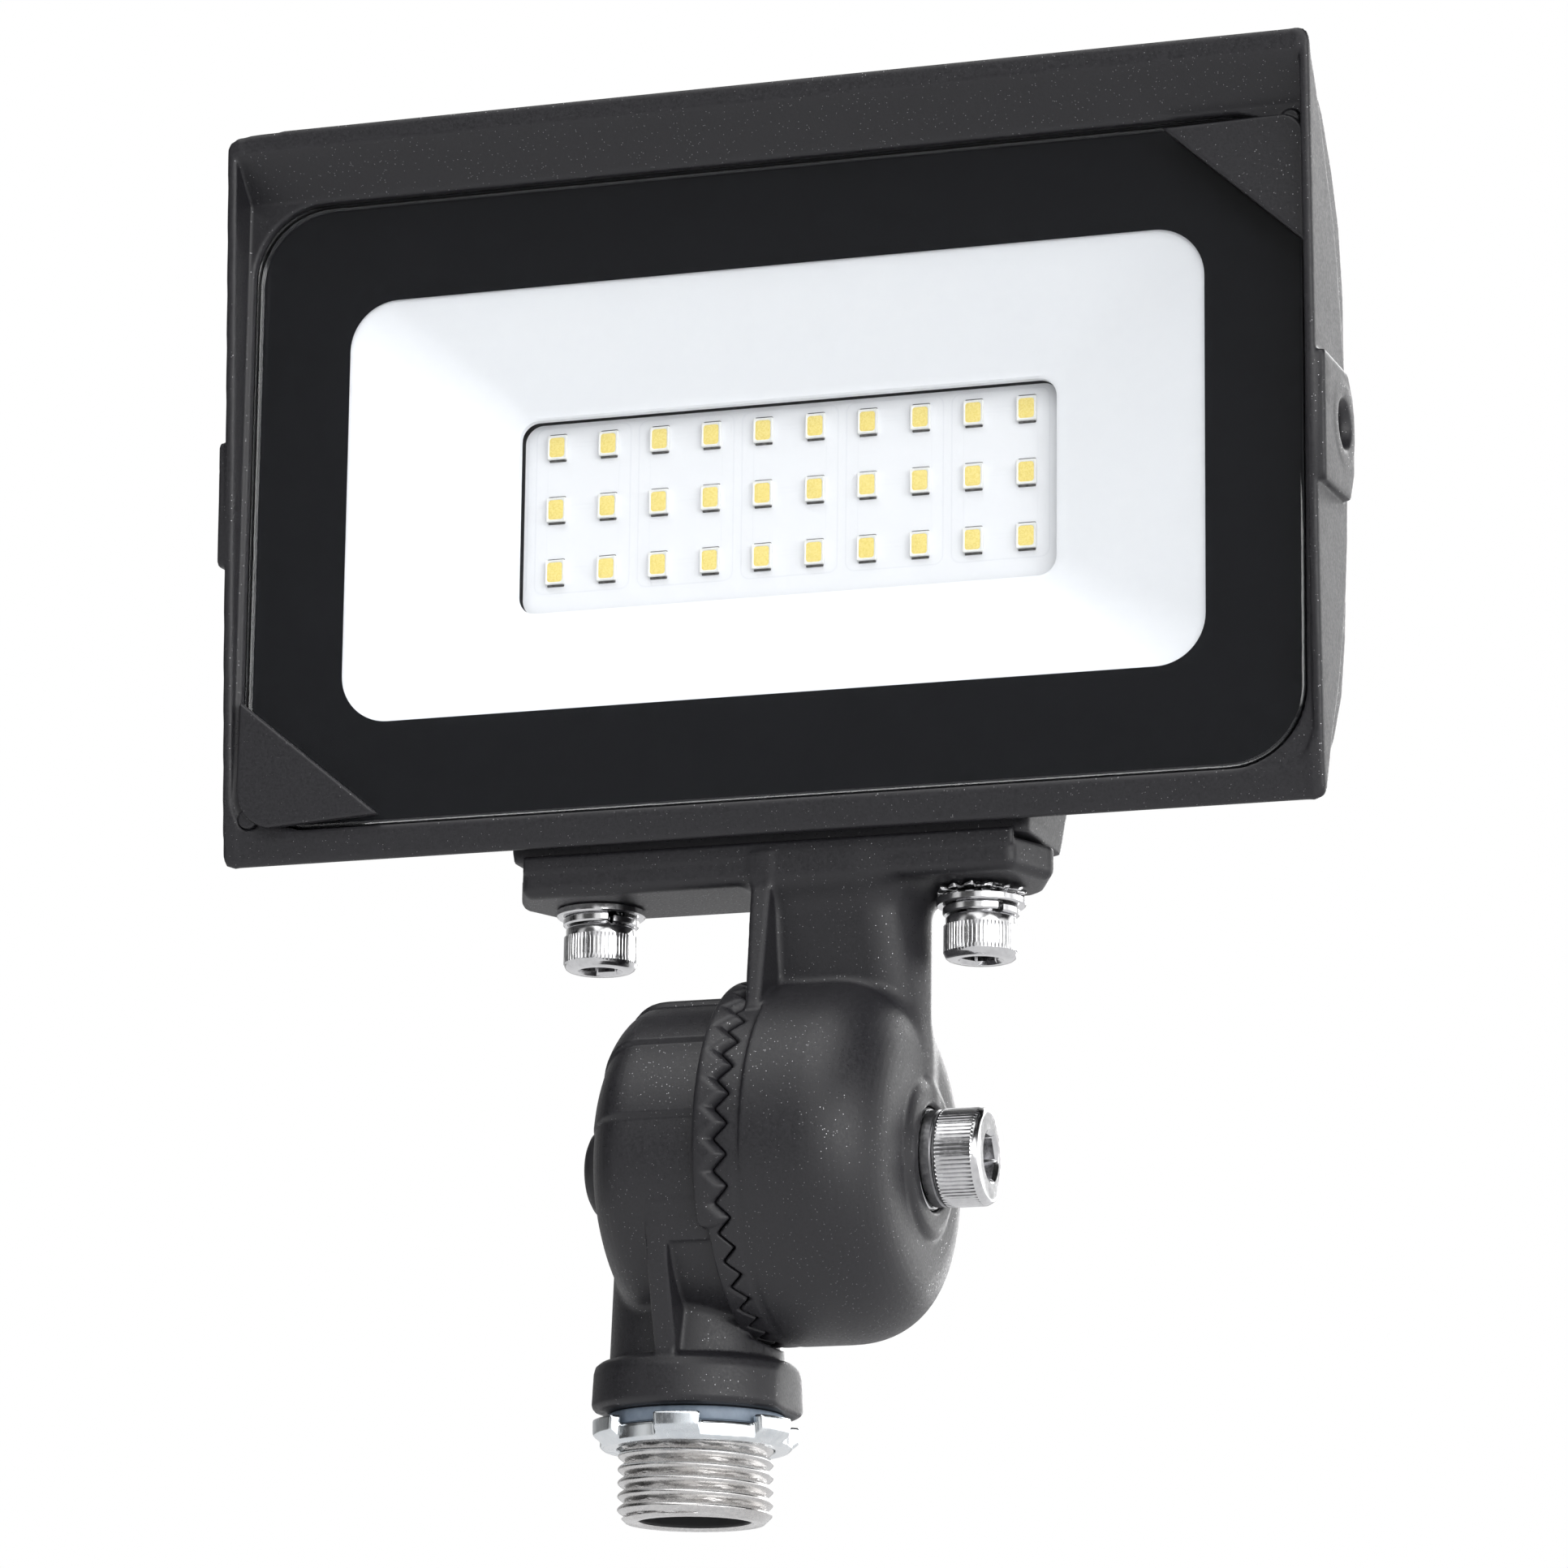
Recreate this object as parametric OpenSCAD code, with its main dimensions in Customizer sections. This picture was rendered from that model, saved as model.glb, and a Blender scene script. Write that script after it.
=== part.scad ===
// Compact LED flood light on a toothed knuckle mount.
// Origin: centre of the nipple's open end. +Z runs up the nipple to the lamp head.
// The light shines towards -Y. All sizes are in millimetres.

/* [Lamp head] */
// Width of the cast housing, without the side bosses
head_w = 157.6; // [154:0.2:164]
// Height of the housing's top edge above the window centre
head_top = 54.8; // [54:0.2:60]
// Depth of the housing's bottom edge below the window centre
head_bottom = 50.5; // [50:0.1:51]
// Height of the window centre above the nipple's open end
head_z = 141.5; // [141:0.1:145]
// Sideways shift of the lamp head from the nipple's axis
head_x = 12.4; // [11.6:0.1:13.2]
// Thickness of the end plates
end_t = 2.4; // [2:0.1:3]
// Cooling fin thickness
fin_t = 2; // [1.4:0.1:2.6]
// Cooling fin spacing
fin_pitch = 7; // [6:0.5:9]

/* [Window and lens] */
// Half width of the clear window
win_x = 62; // [60:0.5:63]
// Half height of the clear window
win_z = 30.5; // [29:0.5:31]
// Thickness of the glass
glass_t = 3; // [2.6:0.1:3]
// Corner radius of the glass
glass_r = 10.5; // [10:0.5:13]

/* [Light source] */
// Columns of light-emitting diodes
led_cols = 10; // [8:1:10]
// Rows of light-emitting diodes
led_rows = 3; // [2:1:3]
// Column spacing
led_px = 7.615; // [7:0.005:7.62]
// Row spacing
led_pz = 9.05; // [8:0.05:9.1]

/* [Bracket] */
// Half length of the bracket plate
plate_x = 38.1; // [37.5:0.1:40]
// Plate thickness
plate_t = 4.5; // [4:0.1:4.5]
// Spacing of the two plate bolts
bolt_gap = 54.7; // [54:0.1:56]
// Radius of the toothed upper knuckle half
dome_r = 24.5; // [24:0.1:24.8]

/* [Knuckle base] */
// Height of the tilt axis above the nipple's open end
pivot_z = 48.1; // [48:0.1:48.4]
// Radius of the lower drum
drum_r = 23.2; // [22.8:0.1:23.6]
// Radius of the arm under the drum
arm_r = 11.6; // [11.2:0.1:12]
// Radius of the collar
collar_r = 14.1; // [13.8:0.1:14.6]
// Number of teeth on each half of the knuckle
teeth = 36; // [24:4:36]

/* [Nipple] */
// Outside radius of the threaded nipple
nipple_r = 10.5; // [10.45:0.05:10.5]
// Inside radius of the nipple, the way for the supply wires
wire_r = 7.55; // [7:0.05:7.6]
// Length of the nipple below the collar
nipple_l = 14.5; // [14.4:0.1:14.6]

/* [Hidden] */
$fn = 72;

head_y = -11.7;            // the window's plane, from the nipple's axis
hw = head_w / 2;
body_x = hw - 1.8;           // half width of the body between the end plates
glass_x = 75.6;            // half width of the glass
glass_hi = 44.9;
glass_lo = -45.3;
glass_front = -2;          // front face of the glass in the head's frame
glass_back = glass_front + glass_t;
seat_y = 1.8;              // ledge that carries the lens gasket
floor_y = 12.5;            // front of the heat-spreading floor
floor_t = 3;
led_z0 = 0.77;             // centre of the diode field above the window centre
board_t = 1.6;
led_y = 10.2;              // emitting faces
box_x = 61;                // rear compartment, outside
box_lo = -39;
box_hi = 25;
box_y = 30;                // open back of the compartment
cover_t = 2.6;
pad_bottom = -51.4;        // underside of the housing's mounting pad
plate_top = -52.0;
plate_bot = plate_top - plate_t;
cable_x = 7.9;             // wire way through pad, plate and neck
tooth_x = 10.4;            // middle plane of the teeth, in the part's frame
tooth_h = 1.05;            // cut height of each half's teeth
ring_in = 18.5;            // inside radius of the toothed rings
m6_z = plate_bot - 2.6;    // underside of the bolt heads' bearing faces
clip_p = [[74.6, 43.5], [-74.6, -43.6]];

// Outline of a cast end plate, as [depth, height]
end_pts = [
    [-1.4, -head_bottom], [-2.3, -44], [-3.9, -20], [-4.9, 0], [-6.2, 24],
    [-7.5, 48], [-8.0, head_top - 0.6], [-7.6, head_top], [-6.9, head_top],
    [-5.5, 50.9], [-3.4, 48.2], [0, 42.4], [3, 36.5], [6.4, 30.6],
    [8.4, 24.4], [10, 18], [11.6, 11.6], [12.8, 5.1], [13.1, 1.7],
    [12.8, -5.2], [12.4, -12], [11.4, -19.1], [9.3, -26.4], [6.8, -33.7],
    [3, -41.2], [-0.6, -head_bottom]
];
// Outline of the body between the end plates
body_pts = [
    [-1.4, -head_bottom], [-2.3, -44], [-3.9, -20], [-4.9, 0], [-6.2, 24],
    [-7.5, 48], [-8.0, head_top - 0.6], [-7.6, head_top], [-6.4, head_top],
    [-3.5, 53], [0, 50.5], [5.5, 46.6], [10.6, 40], [14.4, 33], [16.4, 24],
    [17, 10], [17, -12], [16.2, -24], [13.8, -33], [9.3, -40], [4, -45.3],
    [-0.6, -head_bottom]
];
// Outline of a cooling fin
fin_pts = [
    [0, 49.5], [7, 47.5], [14, 41], [19.5, 31], [22.6, 18], [23.8, 4],
    [23.4, -10], [21, -24], [15.5, -35], [8.5, -41.5], [2, -45]
];

// ---- helpers ----
// A profile of [depth, height] points drawn out along X, centred
module yz(w) { rotate([90, 0, 90]) linear_extrude(w, center = true) children(); }

// A rounded rectangle between two corners, drawn out along Y from y0 to y1
module slab(x0, z0, x1, z1, y0, y1, r) {
    translate([0, y1, 0]) rotate([90, 0, 0]) linear_extrude(y1 - y0) union() {
        translate([x0 + r, z0]) square([x1 - x0 - 2 * r, z1 - z0]);
        translate([x0, z0 + r]) square([x1 - x0, z1 - z0 - 2 * r]);
        for (x = [x0 + r, x1 - r], z = [z0 + r, z1 - r])
            translate([x, z]) circle(r);
    }
}

// A block between two corners
module block(a, b) { translate(a) cube(b - a); }

// A round bar along Y from y0 to y1
module ybar(x, z, y0, y1, r) {
    translate([x, y1, z]) rotate([90, 0, 0]) cylinder(h = y1 - y0, r = r);
}

// A round bar along X from x0 to x1, on the tilt axis
module xbar(x0, x1, r) {
    translate([x0, 0, pivot_z]) rotate([0, 90, 0]) cylinder(h = x1 - x0, r = r);
}

// A hexagonal bar along X on the tilt axis, af across its flats
module xhex(x0, x1, af) {
    translate([x0, 0, pivot_z]) rotate([0, 90, 0])
        cylinder(h = x1 - x0, r = af / 2 / cos(30), $fn = 6);
}

// A shape turned about the tilt axis, from [distance along X, radius] points
module xturned(pts) {
    translate([0, 0, pivot_z]) rotate([0, 90, 0]) rotate_extrude()
        polygon([for (p = pts) [p[1], p[0]]]);
}

// Points about a tube's ring, square to a route
function unit(v) = v / norm(v);
function along(p, i) = unit(p[min(i + 1, len(p) - 1)] - p[max(i - 1, 0)]);
function side_of(t) = abs(t[2]) < 0.9 ? unit(cross(t, [0, 0, 1])) : unit(cross(t, [1, 0, 0]));
module tube(p, r, n = 8) {
    pts = [for (i = [0:len(p) - 1]) let (t = along(p, i), u = side_of(t), v = cross(t, u))
        for (k = [0:n - 1]) p[i] + r * (cos(360 * k / n) * u + sin(360 * k / n) * v)];
    m = len(p);
    polyhedron(pts, concat(
        [[for (k = [0:n - 1]) k]],
        [for (i = [0:m - 2], k = [0:n - 1]) [i * n + k, (i + 1) * n + k, (i + 1) * n + (k + 1) % n, i * n + (k + 1) % n]],
        [[for (k = [n - 1:-1:0]) (m - 1) * n + k]]
    ));
}

module head() { translate([head_x, head_y, head_z]) children(); }

// ---- lamp head ----
module housing() color([0.2, 0.2, 0.215]) head() difference() {
    union() {
        intersection() {
            union() {
                yz(2 * body_x) polygon(body_pts);
                for (s = [-1, 1]) translate([s * (hw - end_t / 2), 0, 0]) yz(end_t) polygon(end_pts);
            }
            slab(-hw, -head_bottom, hw, head_top, -12, 20, 3);
        }
        // side bosses for a yoke
        for (s = [-1, 1]) translate([s * (hw - 0.1), 0, 0]) yz(2)
            polygon([[-4, -7.2], [-4.5, 9.8], [8.8, 10.2], [12, 6], [12.4, 2], [12.2, -3], [10, -6.4]]);
        for (s = [-1, 1]) translate([s * (hw - 6), 6.3, 2.9]) rotate([0, 90, 0]) cylinder(h = 10, r = 5.5, center = true);
        // mounting pad for the bracket
        block([-36.8, 0.5, pad_bottom], [36.8, 18.2, -34]);
        // rear compartment
        slab(-box_x, box_lo, box_x, box_hi, 10, box_y, 4);
        // fins beside and above the compartment
        for (i = [-5:5]) translate([i * fin_pitch * 2 * 0.98, 0, 0]) intersection() {
            yz(fin_t) polygon(fin_pts);
            block([-5, -2, 24], [5, 40, 60]);
        }
        for (s = [-1, 1], x = [box_x + 4, box_x + 4 + fin_pitch * 1.15])
            translate([s * x, 0, 0]) yz(fin_t) polygon(fin_pts);
        // columns behind the corner clips
        for (p = clip_p) ybar(p[0], p[1], 0, 7.5, 2.2);
    }
    // recess in front of the glass, deeper under the top edge
    intersection() {
        yz(2 * (hw - 2)) polygon([[-14, -45.9], [-14, 51.2], [-7.2, 51.2], [glass_front, 45.6], [seat_y, 45.6], [seat_y, -45.9]]);
        slab(-hw + 2, -45.9, hw - 2, 60, -15, 5, 6);
    }
    // chamber behind the glass
    slab(-69, -38, 69, 38, 1, 7, 4);
    slab(-66, -30.5, 66, 30.5, 6, floor_y, 4);
    // rear compartment
    slab(-box_x + 3, box_lo + 3, box_x - 3, box_hi - 3, floor_y + floor_t, 40, 3);
    // wire way from the compartment down through the pad
    translate([cable_x, 11.7, -60]) cylinder(h = 26, r = 4);
    block([cable_x - 4, 8, -38], [cable_x + 4, 20, -33]);
    // way for the diode board's leads
    ybar(57, -12, 10, 20, 2.5);
    // threaded holes for the bracket's bolts
    for (s = [-1, 1]) translate([s * bolt_gap / 2, 11.7, -60]) cylinder(h = 22.6, r = 3.05);
    // threaded yoke holes, one in each side boss
    for (s = [-1, 1]) {
        translate([s * (hw - 4.1), 6.3, 2.9]) rotate([0, 90, 0]) cylinder(h = 10, r = 2.5, center = true);
        translate([s * (hw + 0.4), 6.3, 2.9]) rotate([0, s * 90, 0]) cylinder(h = 1.2, r1 = 2.5, r2 = 3.6, center = true);
    }
    // holes for the clips' posts and screws
    for (p = clip_p) {
        ybar(p[0], p[1], glass_front - 0.2, 4.2, 1.9);
        ybar(p[0], p[1], 3, 12, 1.1);
        ybar(p[0], p[1], 7.5, 20, 2.1);
    }
    // holes for the diode board's screws
    for (x = [-57, 0, 57], z = [-21.8, 21.8]) ybar(x, z, 10, floor_y + 2.6, 1.55);
    // holes for the rear cover's screws
    for (x = [-box_x + 3.2, box_x - 3.2], z = [box_lo + 3.2, box_hi - 3.2]) ybar(x, z, 18, 32, 1.55);
    for (x = [-46, 46], z = [-30, 14]) ybar(x, z, 13.2, 17, 1.3);
}

module glass_lens() color([0.06, 0.06, 0.08]) head()
    slab(-glass_x, glass_lo, glass_x, glass_hi, glass_front, glass_back, glass_r);

module lens_gasket() color([0.85, 0.85, 0.85]) head() difference() {
    slab(-75, -44.6, 75, 44.2, glass_back, seat_y, 10);
    slab(-70, -39.6, 70, 39.2, glass_back - 1, seat_y + 1, 6);
}

// The two triangular clips stand over opposite corners of the glass
module corner_clips() color([0.2, 0.2, 0.215]) head() {
    intersection() {
        translate([0, glass_front, 0]) rotate([90, 0, 0]) linear_extrude(1.3)
            polygon([[57, 45.3], [76.6, 45.3], [76.6, 26], [75.4, 26.6], [57.6, 43.9]]);
        slab(-76.6, -60, 76.6, 45.3, -5, 0, 5.6);
    }
    intersection() {
        translate([0, glass_front, 0]) rotate([90, 0, 0]) linear_extrude(1.3)
            polygon([[-55, -45.7], [-76.6, -45.7], [-76.6, -27], [-75.4, -27.6], [-55.6, -44.3]]);
        slab(-76.6, -45.7, 76.6, 60, -5, 0, 5.6);
    }
    for (p = clip_p) difference() {
        ybar(p[0], p[1], glass_front, 4.1, 1.8);
        ybar(p[0], p[1], 0, 5, 1.05);
    }
}

module clip_screws() color([0.7, 0.7, 0.72]) head() for (p = clip_p) difference() {
    union() {
        ybar(p[0], p[1], 7.5, 9, 1.9);
        ybar(p[0], p[1], 0.4, 7.6, 1);
    }
    block([p[0] - 1.3, 8.4, p[1] - 0.25], [p[0] + 1.3, 10, p[1] + 0.25]);
    block([p[0] - 0.25, 8.4, p[1] - 1.3], [p[0] + 0.25, 10, p[1] + 1.3]);
}

// White reflector: a flange under the glass and four sloped walls down to the diodes
module reflector() color([0.94, 0.95, 0.97]) head() difference() {
    union() {
        slab(-68.5, -37.5, 68.5, 37.5, glass_back, glass_back + 1.2, 6);
        hull() {
            slab(-win_x - 1.4, -win_z - 1.4, win_x + 1.4, win_z + 1.4, glass_back, glass_back + 1.2, 7);
            slab(-40.6, -16, 40.6, 15.3, 10.2, 10.8, 4);
        }
    }
    hull() {
        slab(-win_x, -win_z, win_x, win_z, glass_back - 0.1, glass_back, 7);
        slab(-39.4, -14.9, 39.4, 14.1, 9.6, 9.7, 3.2);
    }
    slab(-38.8, -14.2, 38.8, 13.5, 9, 12, 2.6);
}

module led_board() color([0.93, 0.94, 0.95]) head() difference() {
    slab(-62, -26, 62, 26, floor_y - board_t, floor_y, 3);
    for (x = [-57, 0, 57], z = [-21.8, 21.8]) ybar(x, z, 10, 13, 1.7);
    ybar(57, -12, 10, 13, 2.5);
}

function led_at(i, j) = [(i - (led_cols - 1) / 2) * led_px, led_z0 + (j - (led_rows - 1) / 2) * led_pz];

module led_packages() color([0.97, 0.96, 0.92]) head()
    for (i = [0:led_cols - 1], j = [0:led_rows - 1]) let (p = led_at(i, j)) difference() {
        block([p[0] - 1.4, led_y, p[1] - 1.75], [p[0] + 1.4, floor_y - board_t, p[1] + 1.75]);
        block([p[0] - 1.15, led_y - 1, p[1] - 1.45], [p[0] + 1.15, led_y + 0.35, p[1] + 1.45]);
    }

module led_phosphors() color([0.97, 0.88, 0.5]) head()
    for (i = [0:led_cols - 1], j = [0:led_rows - 1]) let (p = led_at(i, j))
        block([p[0] - 1.15, led_y + 0.02, p[1] - 1.45], [p[0] + 1.15, led_y + 0.35, p[1] + 1.45]);

module board_screws() color([0.75, 0.75, 0.77]) head()
    for (x = [-57, 0, 57], z = [-21.8, 21.8]) difference() {
        union() {
            ybar(x, z, floor_y - board_t - 1.6, floor_y - board_t, 2.6);
            ybar(x, z, floor_y - board_t - 0.2, floor_y + 2.5, 1.5);
        }
        block([x - 1.6, floor_y - board_t - 3, z - 0.3], [x + 1.6, floor_y - board_t - 0.8, z + 0.3]);
        block([x - 0.3, floor_y - board_t - 3, z - 1.6], [x + 0.3, floor_y - board_t - 0.8, z + 1.6]);
    }

// Two leads from the driver board, through the floor, to the diode board's pads
module led_leads() color([0.8, 0.1, 0.08]) head() for (s = [-1, 1]) tube([
    [44, 20.9, -12 + s * 1.6], [49, 20.9, -12 + s * 1.6], [53, 20.7, -12 + s * 1.5], [56, 19.4, -12 + s * 1.2],
    [57, 17, -12 + s * 1.05], [57, 13, -12 + s * 1.05], [56.6, 11.4, -12 + s * 1.05], [55.4, 10.15, -12 + s * 1.2],
    [53.5, 10.1, -12 + s * 1.5], [51, 10.1, -12 + s * 1.6]
], 0.7);

module driver_board() color([0.1, 0.35, 0.16]) head() difference() {
    slab(-51, -34, 51, 18, 18.5, 20.1, 2);
    for (x = [-46, 46], z = [-30, 14]) ybar(x, z, 15, 22, 1.5);
}

module driver_transformer() color([0.85, 0.72, 0.1]) head() {
    block([-8, 20.1, -14], [8, 21.6, 6]);
    difference() {
        block([-7, 21.6, -12], [7, 28.4, 4]);
        block([-2.2, 20.5, -9.4], [2.2, 29, -6.4]);
        block([-2.2, 20.5, -1.6], [2.2, 29, 1.4]);
    }
}

module driver_capacitors() color([0.08, 0.1, 0.2]) head() {
    for (c = [[-26, 5, 4], [-26, -17, 4], [24, -12, 3.1]])
        translate([c[0], 20.2 + c[2], c[1] - 7]) cylinder(h = 14, r = c[2]);
    block([14, 20.1, 6], [26, 27.6, 11]);
}

module driver_terminal() color([0.15, 0.45, 0.2]) head() difference() {
    block([-1, 20.1, -32], [17, 28.6, -24]);
    for (x = [3, 8, 13]) {
        translate([x, 24, -33]) cylinder(h = 6, r = 1.6);
        ybar(x, -27.6, 27, 30, 1.5);
    }
}

module driver_screws() color([0.75, 0.75, 0.77]) head() for (x = [-46, 46], z = [-30, 14]) {
    difference() {
        union() {
            ybar(x, z, 20.1, 21.5, 2.4);
            ybar(x, z, 13.4, 20.2, 1.25);
        }
        block([x - 1.5, 20.9, z - 0.3], [x + 1.5, 23, z + 0.3]);
        block([x - 0.3, 20.9, z - 1.5], [x + 0.3, 23, z + 1.5]);
    }
    // standoff sleeve under the board
    difference() {
        ybar(x, z, floor_y + floor_t, 18.5, 2.6);
        ybar(x, z, floor_y, 19, 1.3);
    }
}

module rear_cover() color([0.2, 0.2, 0.215]) head() difference() {
    union() {
        slab(-box_x, box_lo, box_x, box_hi, box_y + 0.6, box_y + 0.6 + cover_t, 4);
        for (i = [-6:6]) translate([i * fin_pitch * 1.15, 0, 0]) block(
            [-fin_t / 2, box_y + 0.6 + cover_t - 0.4, box_lo + 5], [fin_t / 2, box_y + cover_t + 4.6, box_hi - 5]);
    }
    for (x = [-box_x + 3.2, box_x - 3.2], z = [box_lo + 3.2, box_hi - 3.2]) ybar(x, z, 28, 36, 1.7);
}

module rear_gasket() color([0.55, 0.57, 0.6]) head() difference() {
    slab(-box_x, box_lo, box_x, box_hi, box_y, box_y + 0.6, 4);
    slab(-box_x + 3, box_lo + 3, box_x - 3, box_hi - 3, box_y - 1, box_y + 2, 3);
    for (x = [-box_x + 3.2, box_x - 3.2], z = [box_lo + 3.2, box_hi - 3.2]) ybar(x, z, 28, 36, 1.7);
}

module rear_cover_screws() color([0.75, 0.75, 0.77]) head()
    for (x = [-box_x + 3.2, box_x - 3.2], z = [box_lo + 3.2, box_hi - 3.2]) difference() {
        union() {
            ybar(x, z, box_y + 0.6 + cover_t, box_y + 2.6 + cover_t, 2.7);
            ybar(x, z, 21, box_y + 0.7 + cover_t, 1.5);
        }
        block([x - 1.6, box_y + 1.6 + cover_t, z - 0.35], [x + 1.6, 40, z + 0.35]);
        block([x - 0.35, box_y + 1.6 + cover_t, z - 1.6], [x + 0.35, 40, z + 1.6]);
    }

// Sealing bush in the pad's wire way
module wire_grommet() color([0.5, 0.52, 0.55]) head() translate([cable_x, 11.7, 0]) difference() {
    translate([0, 0, -49]) cylinder(h = 9, r = 3.95);
    for (a = [90, 210, 330]) rotate(a) translate([1.75, 0, -52]) cylinder(h = 14, r = 1.1);
}

module pad_gasket() color([0.5, 0.52, 0.55]) head() difference() {
    block([-33.5, 1.6, plate_top], [33.5, 17.6, pad_bottom]);
    for (s = [-1, 1]) translate([s * bolt_gap / 2, 11.7, -56]) cylinder(h = 8, r = 3.4);
    translate([cable_x, 11.7, -56]) cylinder(h = 8, r = 4);
}

// ---- bracket: plate, neck and toothed upper half of the knuckle ----
module tooth_ring(root, tip, r_out) {
    for (i = [0:teeth - 1]) translate([0, 0, pivot_z]) rotate([i * 360 / teeth, 0, 0])
        translate([0, 0, ring_in + 0.1]) linear_extrude(r_out - ring_in - 0.3)
            polygon([[root + (root - tip) * 0.3, -1.35], [root, -1.35], [tip, 0], [root, 1.35], [root + (root - tip) * 0.3, 1.35]]);
}

module bracket() color([0.2, 0.2, 0.215]) difference() {
    union() {
        // plate with chamfered ends and sloped undersides
        head() intersection() {
            translate([0, 0, plate_bot]) linear_extrude(plate_t) polygon([
                [-plate_x, 9.3], [-34.9, 1.1], [34.9, 1.1], [plate_x, 9.3],
                [plate_x, 9.8], [34.6, 17.6], [32.6, 19.6], [-32.6, 19.6], [-34.6, 17.6], [-plate_x, 9.8]
            ]);
            yz(100) polygon([[1.1, -50], [1.1, plate_bot + 0.8], [2.1, plate_bot], [18.6, plate_bot], [19.6, plate_bot + 0.8], [19.6, -50]]);
        }
        // neck, round at its right side
        translate([11.8, -9.6, pivot_z + 12]) cube([11.4, 19.2, 26.5]);
        translate([23.2, 0, pivot_z + 12]) cylinder(h = 26.5, r = 9.6);
        // flange that carries the teeth's side of the neck
        translate([12.4, 0, 0]) yz(2) polygon([[-14.7, pivot_z + 19.4], [-10.6, 85.6], [10.6, 85.6], [14.7, pivot_z + 19.4]]);
        // domed knuckle half
        xturned(concat([[tooth_x + 1.15, 0], [tooth_x + 1.15, 24], [14.3, 24], [14.6, dome_r]],
            [for (a = [90:-10:10]) [32.4 - 11 * (1 - pow(cos(a), 0.88)), 14 + (dome_r - 14) * pow(sin(a), 0.88)]],
            [[32.4, 14], [32.4, 10.2], [32.9, 9.8], [33.3, 9], [33.3, 0]]));
        tooth_ring(tooth_x + 1.15, tooth_x + 1.15 - tooth_h, 24);
    }
    // wire chamber round the bolt's boss
    difference() {
        xturned([[5, 0], [5, ring_in], [22, ring_in], [26, 17], [28.4, 13.5], [28.4, 0]]);
        xbar(21, 30, 9.4);
    }
    xbar(5, 40, 4.5);
    xbar(31.5, 40, 7.2);
    // wire way up through the neck
    translate([head_x + cable_x, 0, pivot_z + 15]) cylinder(h = 40, r = 4.6);
    // bolt holes
    head() for (s = [-1, 1]) translate([s * bolt_gap / 2, 11.7, plate_bot - 2]) cylinder(h = 10, r = 3.4);
}

module m6_at(s) { head() translate([s * bolt_gap / 2, 11.7, m6_z - (s > 0 ? 1.5 : 0)]) children(); }

module m6_bolts() color([0.8, 0.8, 0.82]) for (s = [-1, 1]) m6_at(s) difference() {
    union() {
        translate([0, 0, -6]) cylinder(h = 6, r = 5);
        translate([0, 0, -0.2]) cylinder(h = 20.2 - (s > 0 ? 0 : 1.5), r = 3);
    }
    translate([0, 0, -7]) cylinder(h = 4.2, r = 2.5 / cos(30), $fn = 6);
}

module m6_spring_washers() color([0.78, 0.78, 0.8]) for (s = [-1, 1]) m6_at(s) difference() {
    cylinder(h = 1.4, r = 5.2);
    translate([0, 0, -1]) cylinder(h = 4, r = 3.15);
    rotate(s > 0 ? 200 : 140) translate([2, -0.3, -1]) cube([5, 0.6, 4]);
}

module m6_flat_washers() color([0.8, 0.8, 0.82]) for (s = [-1, 1]) m6_at(s) difference() {
    translate([0, 0, 1.4]) cylinder(h = 1.2, r = 6.1);
    cylinder(h = 4, r = 3.2);
}

// Toothed lock washer between the right flat washer and the plate
module star_washer() color([0.78, 0.78, 0.8]) m6_at(1) difference() {
    union() {
        translate([0, 0, 2.6]) cylinder(h = 1.5, r = 4.9);
        for (i = [0:9]) rotate(i * 36) translate([4.4, -0.75, 2.6]) cube([1.7, 1.5, 1.5]);
    }
    cylinder(h = 5, r = 3.2);
}

// ---- joint pieces ----
module knuckle_seal() color([0.1, 0.1, 0.11]) difference() {
    xbar(8.6, 12.2, 18.4);
    xbar(5, 15, 16.6);
}

module pivot_bolt() color([0.8, 0.8, 0.82]) difference() {
    union() {
        xbar(34.9, 41.3, 6.65);
        xbar(-10.1, 35, 4);
    }
    xhex(37.3, 42, 6);
}

module pivot_washer() color([0.5, 0.5, 0.52]) difference() {
    xbar(31.5, 33.1, 6.95);
    xbar(30, 40, 4.2);
}

module pivot_spring_washer() color([0.3, 0.3, 0.32]) difference() {
    xbar(33.1, 34.9, 6.6);
    xbar(30, 40, 4.15);
    translate([32, 3, pivot_z - 1.6]) rotate([12, 0, 0]) cube([4, 6, 0.7]);
}

module pivot_nut() color([0.75, 0.75, 0.77]) difference() {
    xhex(-9, -2.5, 13);
    xbar(-13, 0, 4.05);
}

module cap_plug() color([0.05, 0.05, 0.05]) {
    xturned([[-15.4, 0], [-15.3, 3], [-15, 4.8], [-14.4, 5.8], [-13.2, 6.3], [-11.8, 6.4], [-11.8, 0]]);
    difference() {
        xbar(-11.9, -9.1, 6.2);
        xbar(-11.5, -8, 5.2);
    }
}

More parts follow.
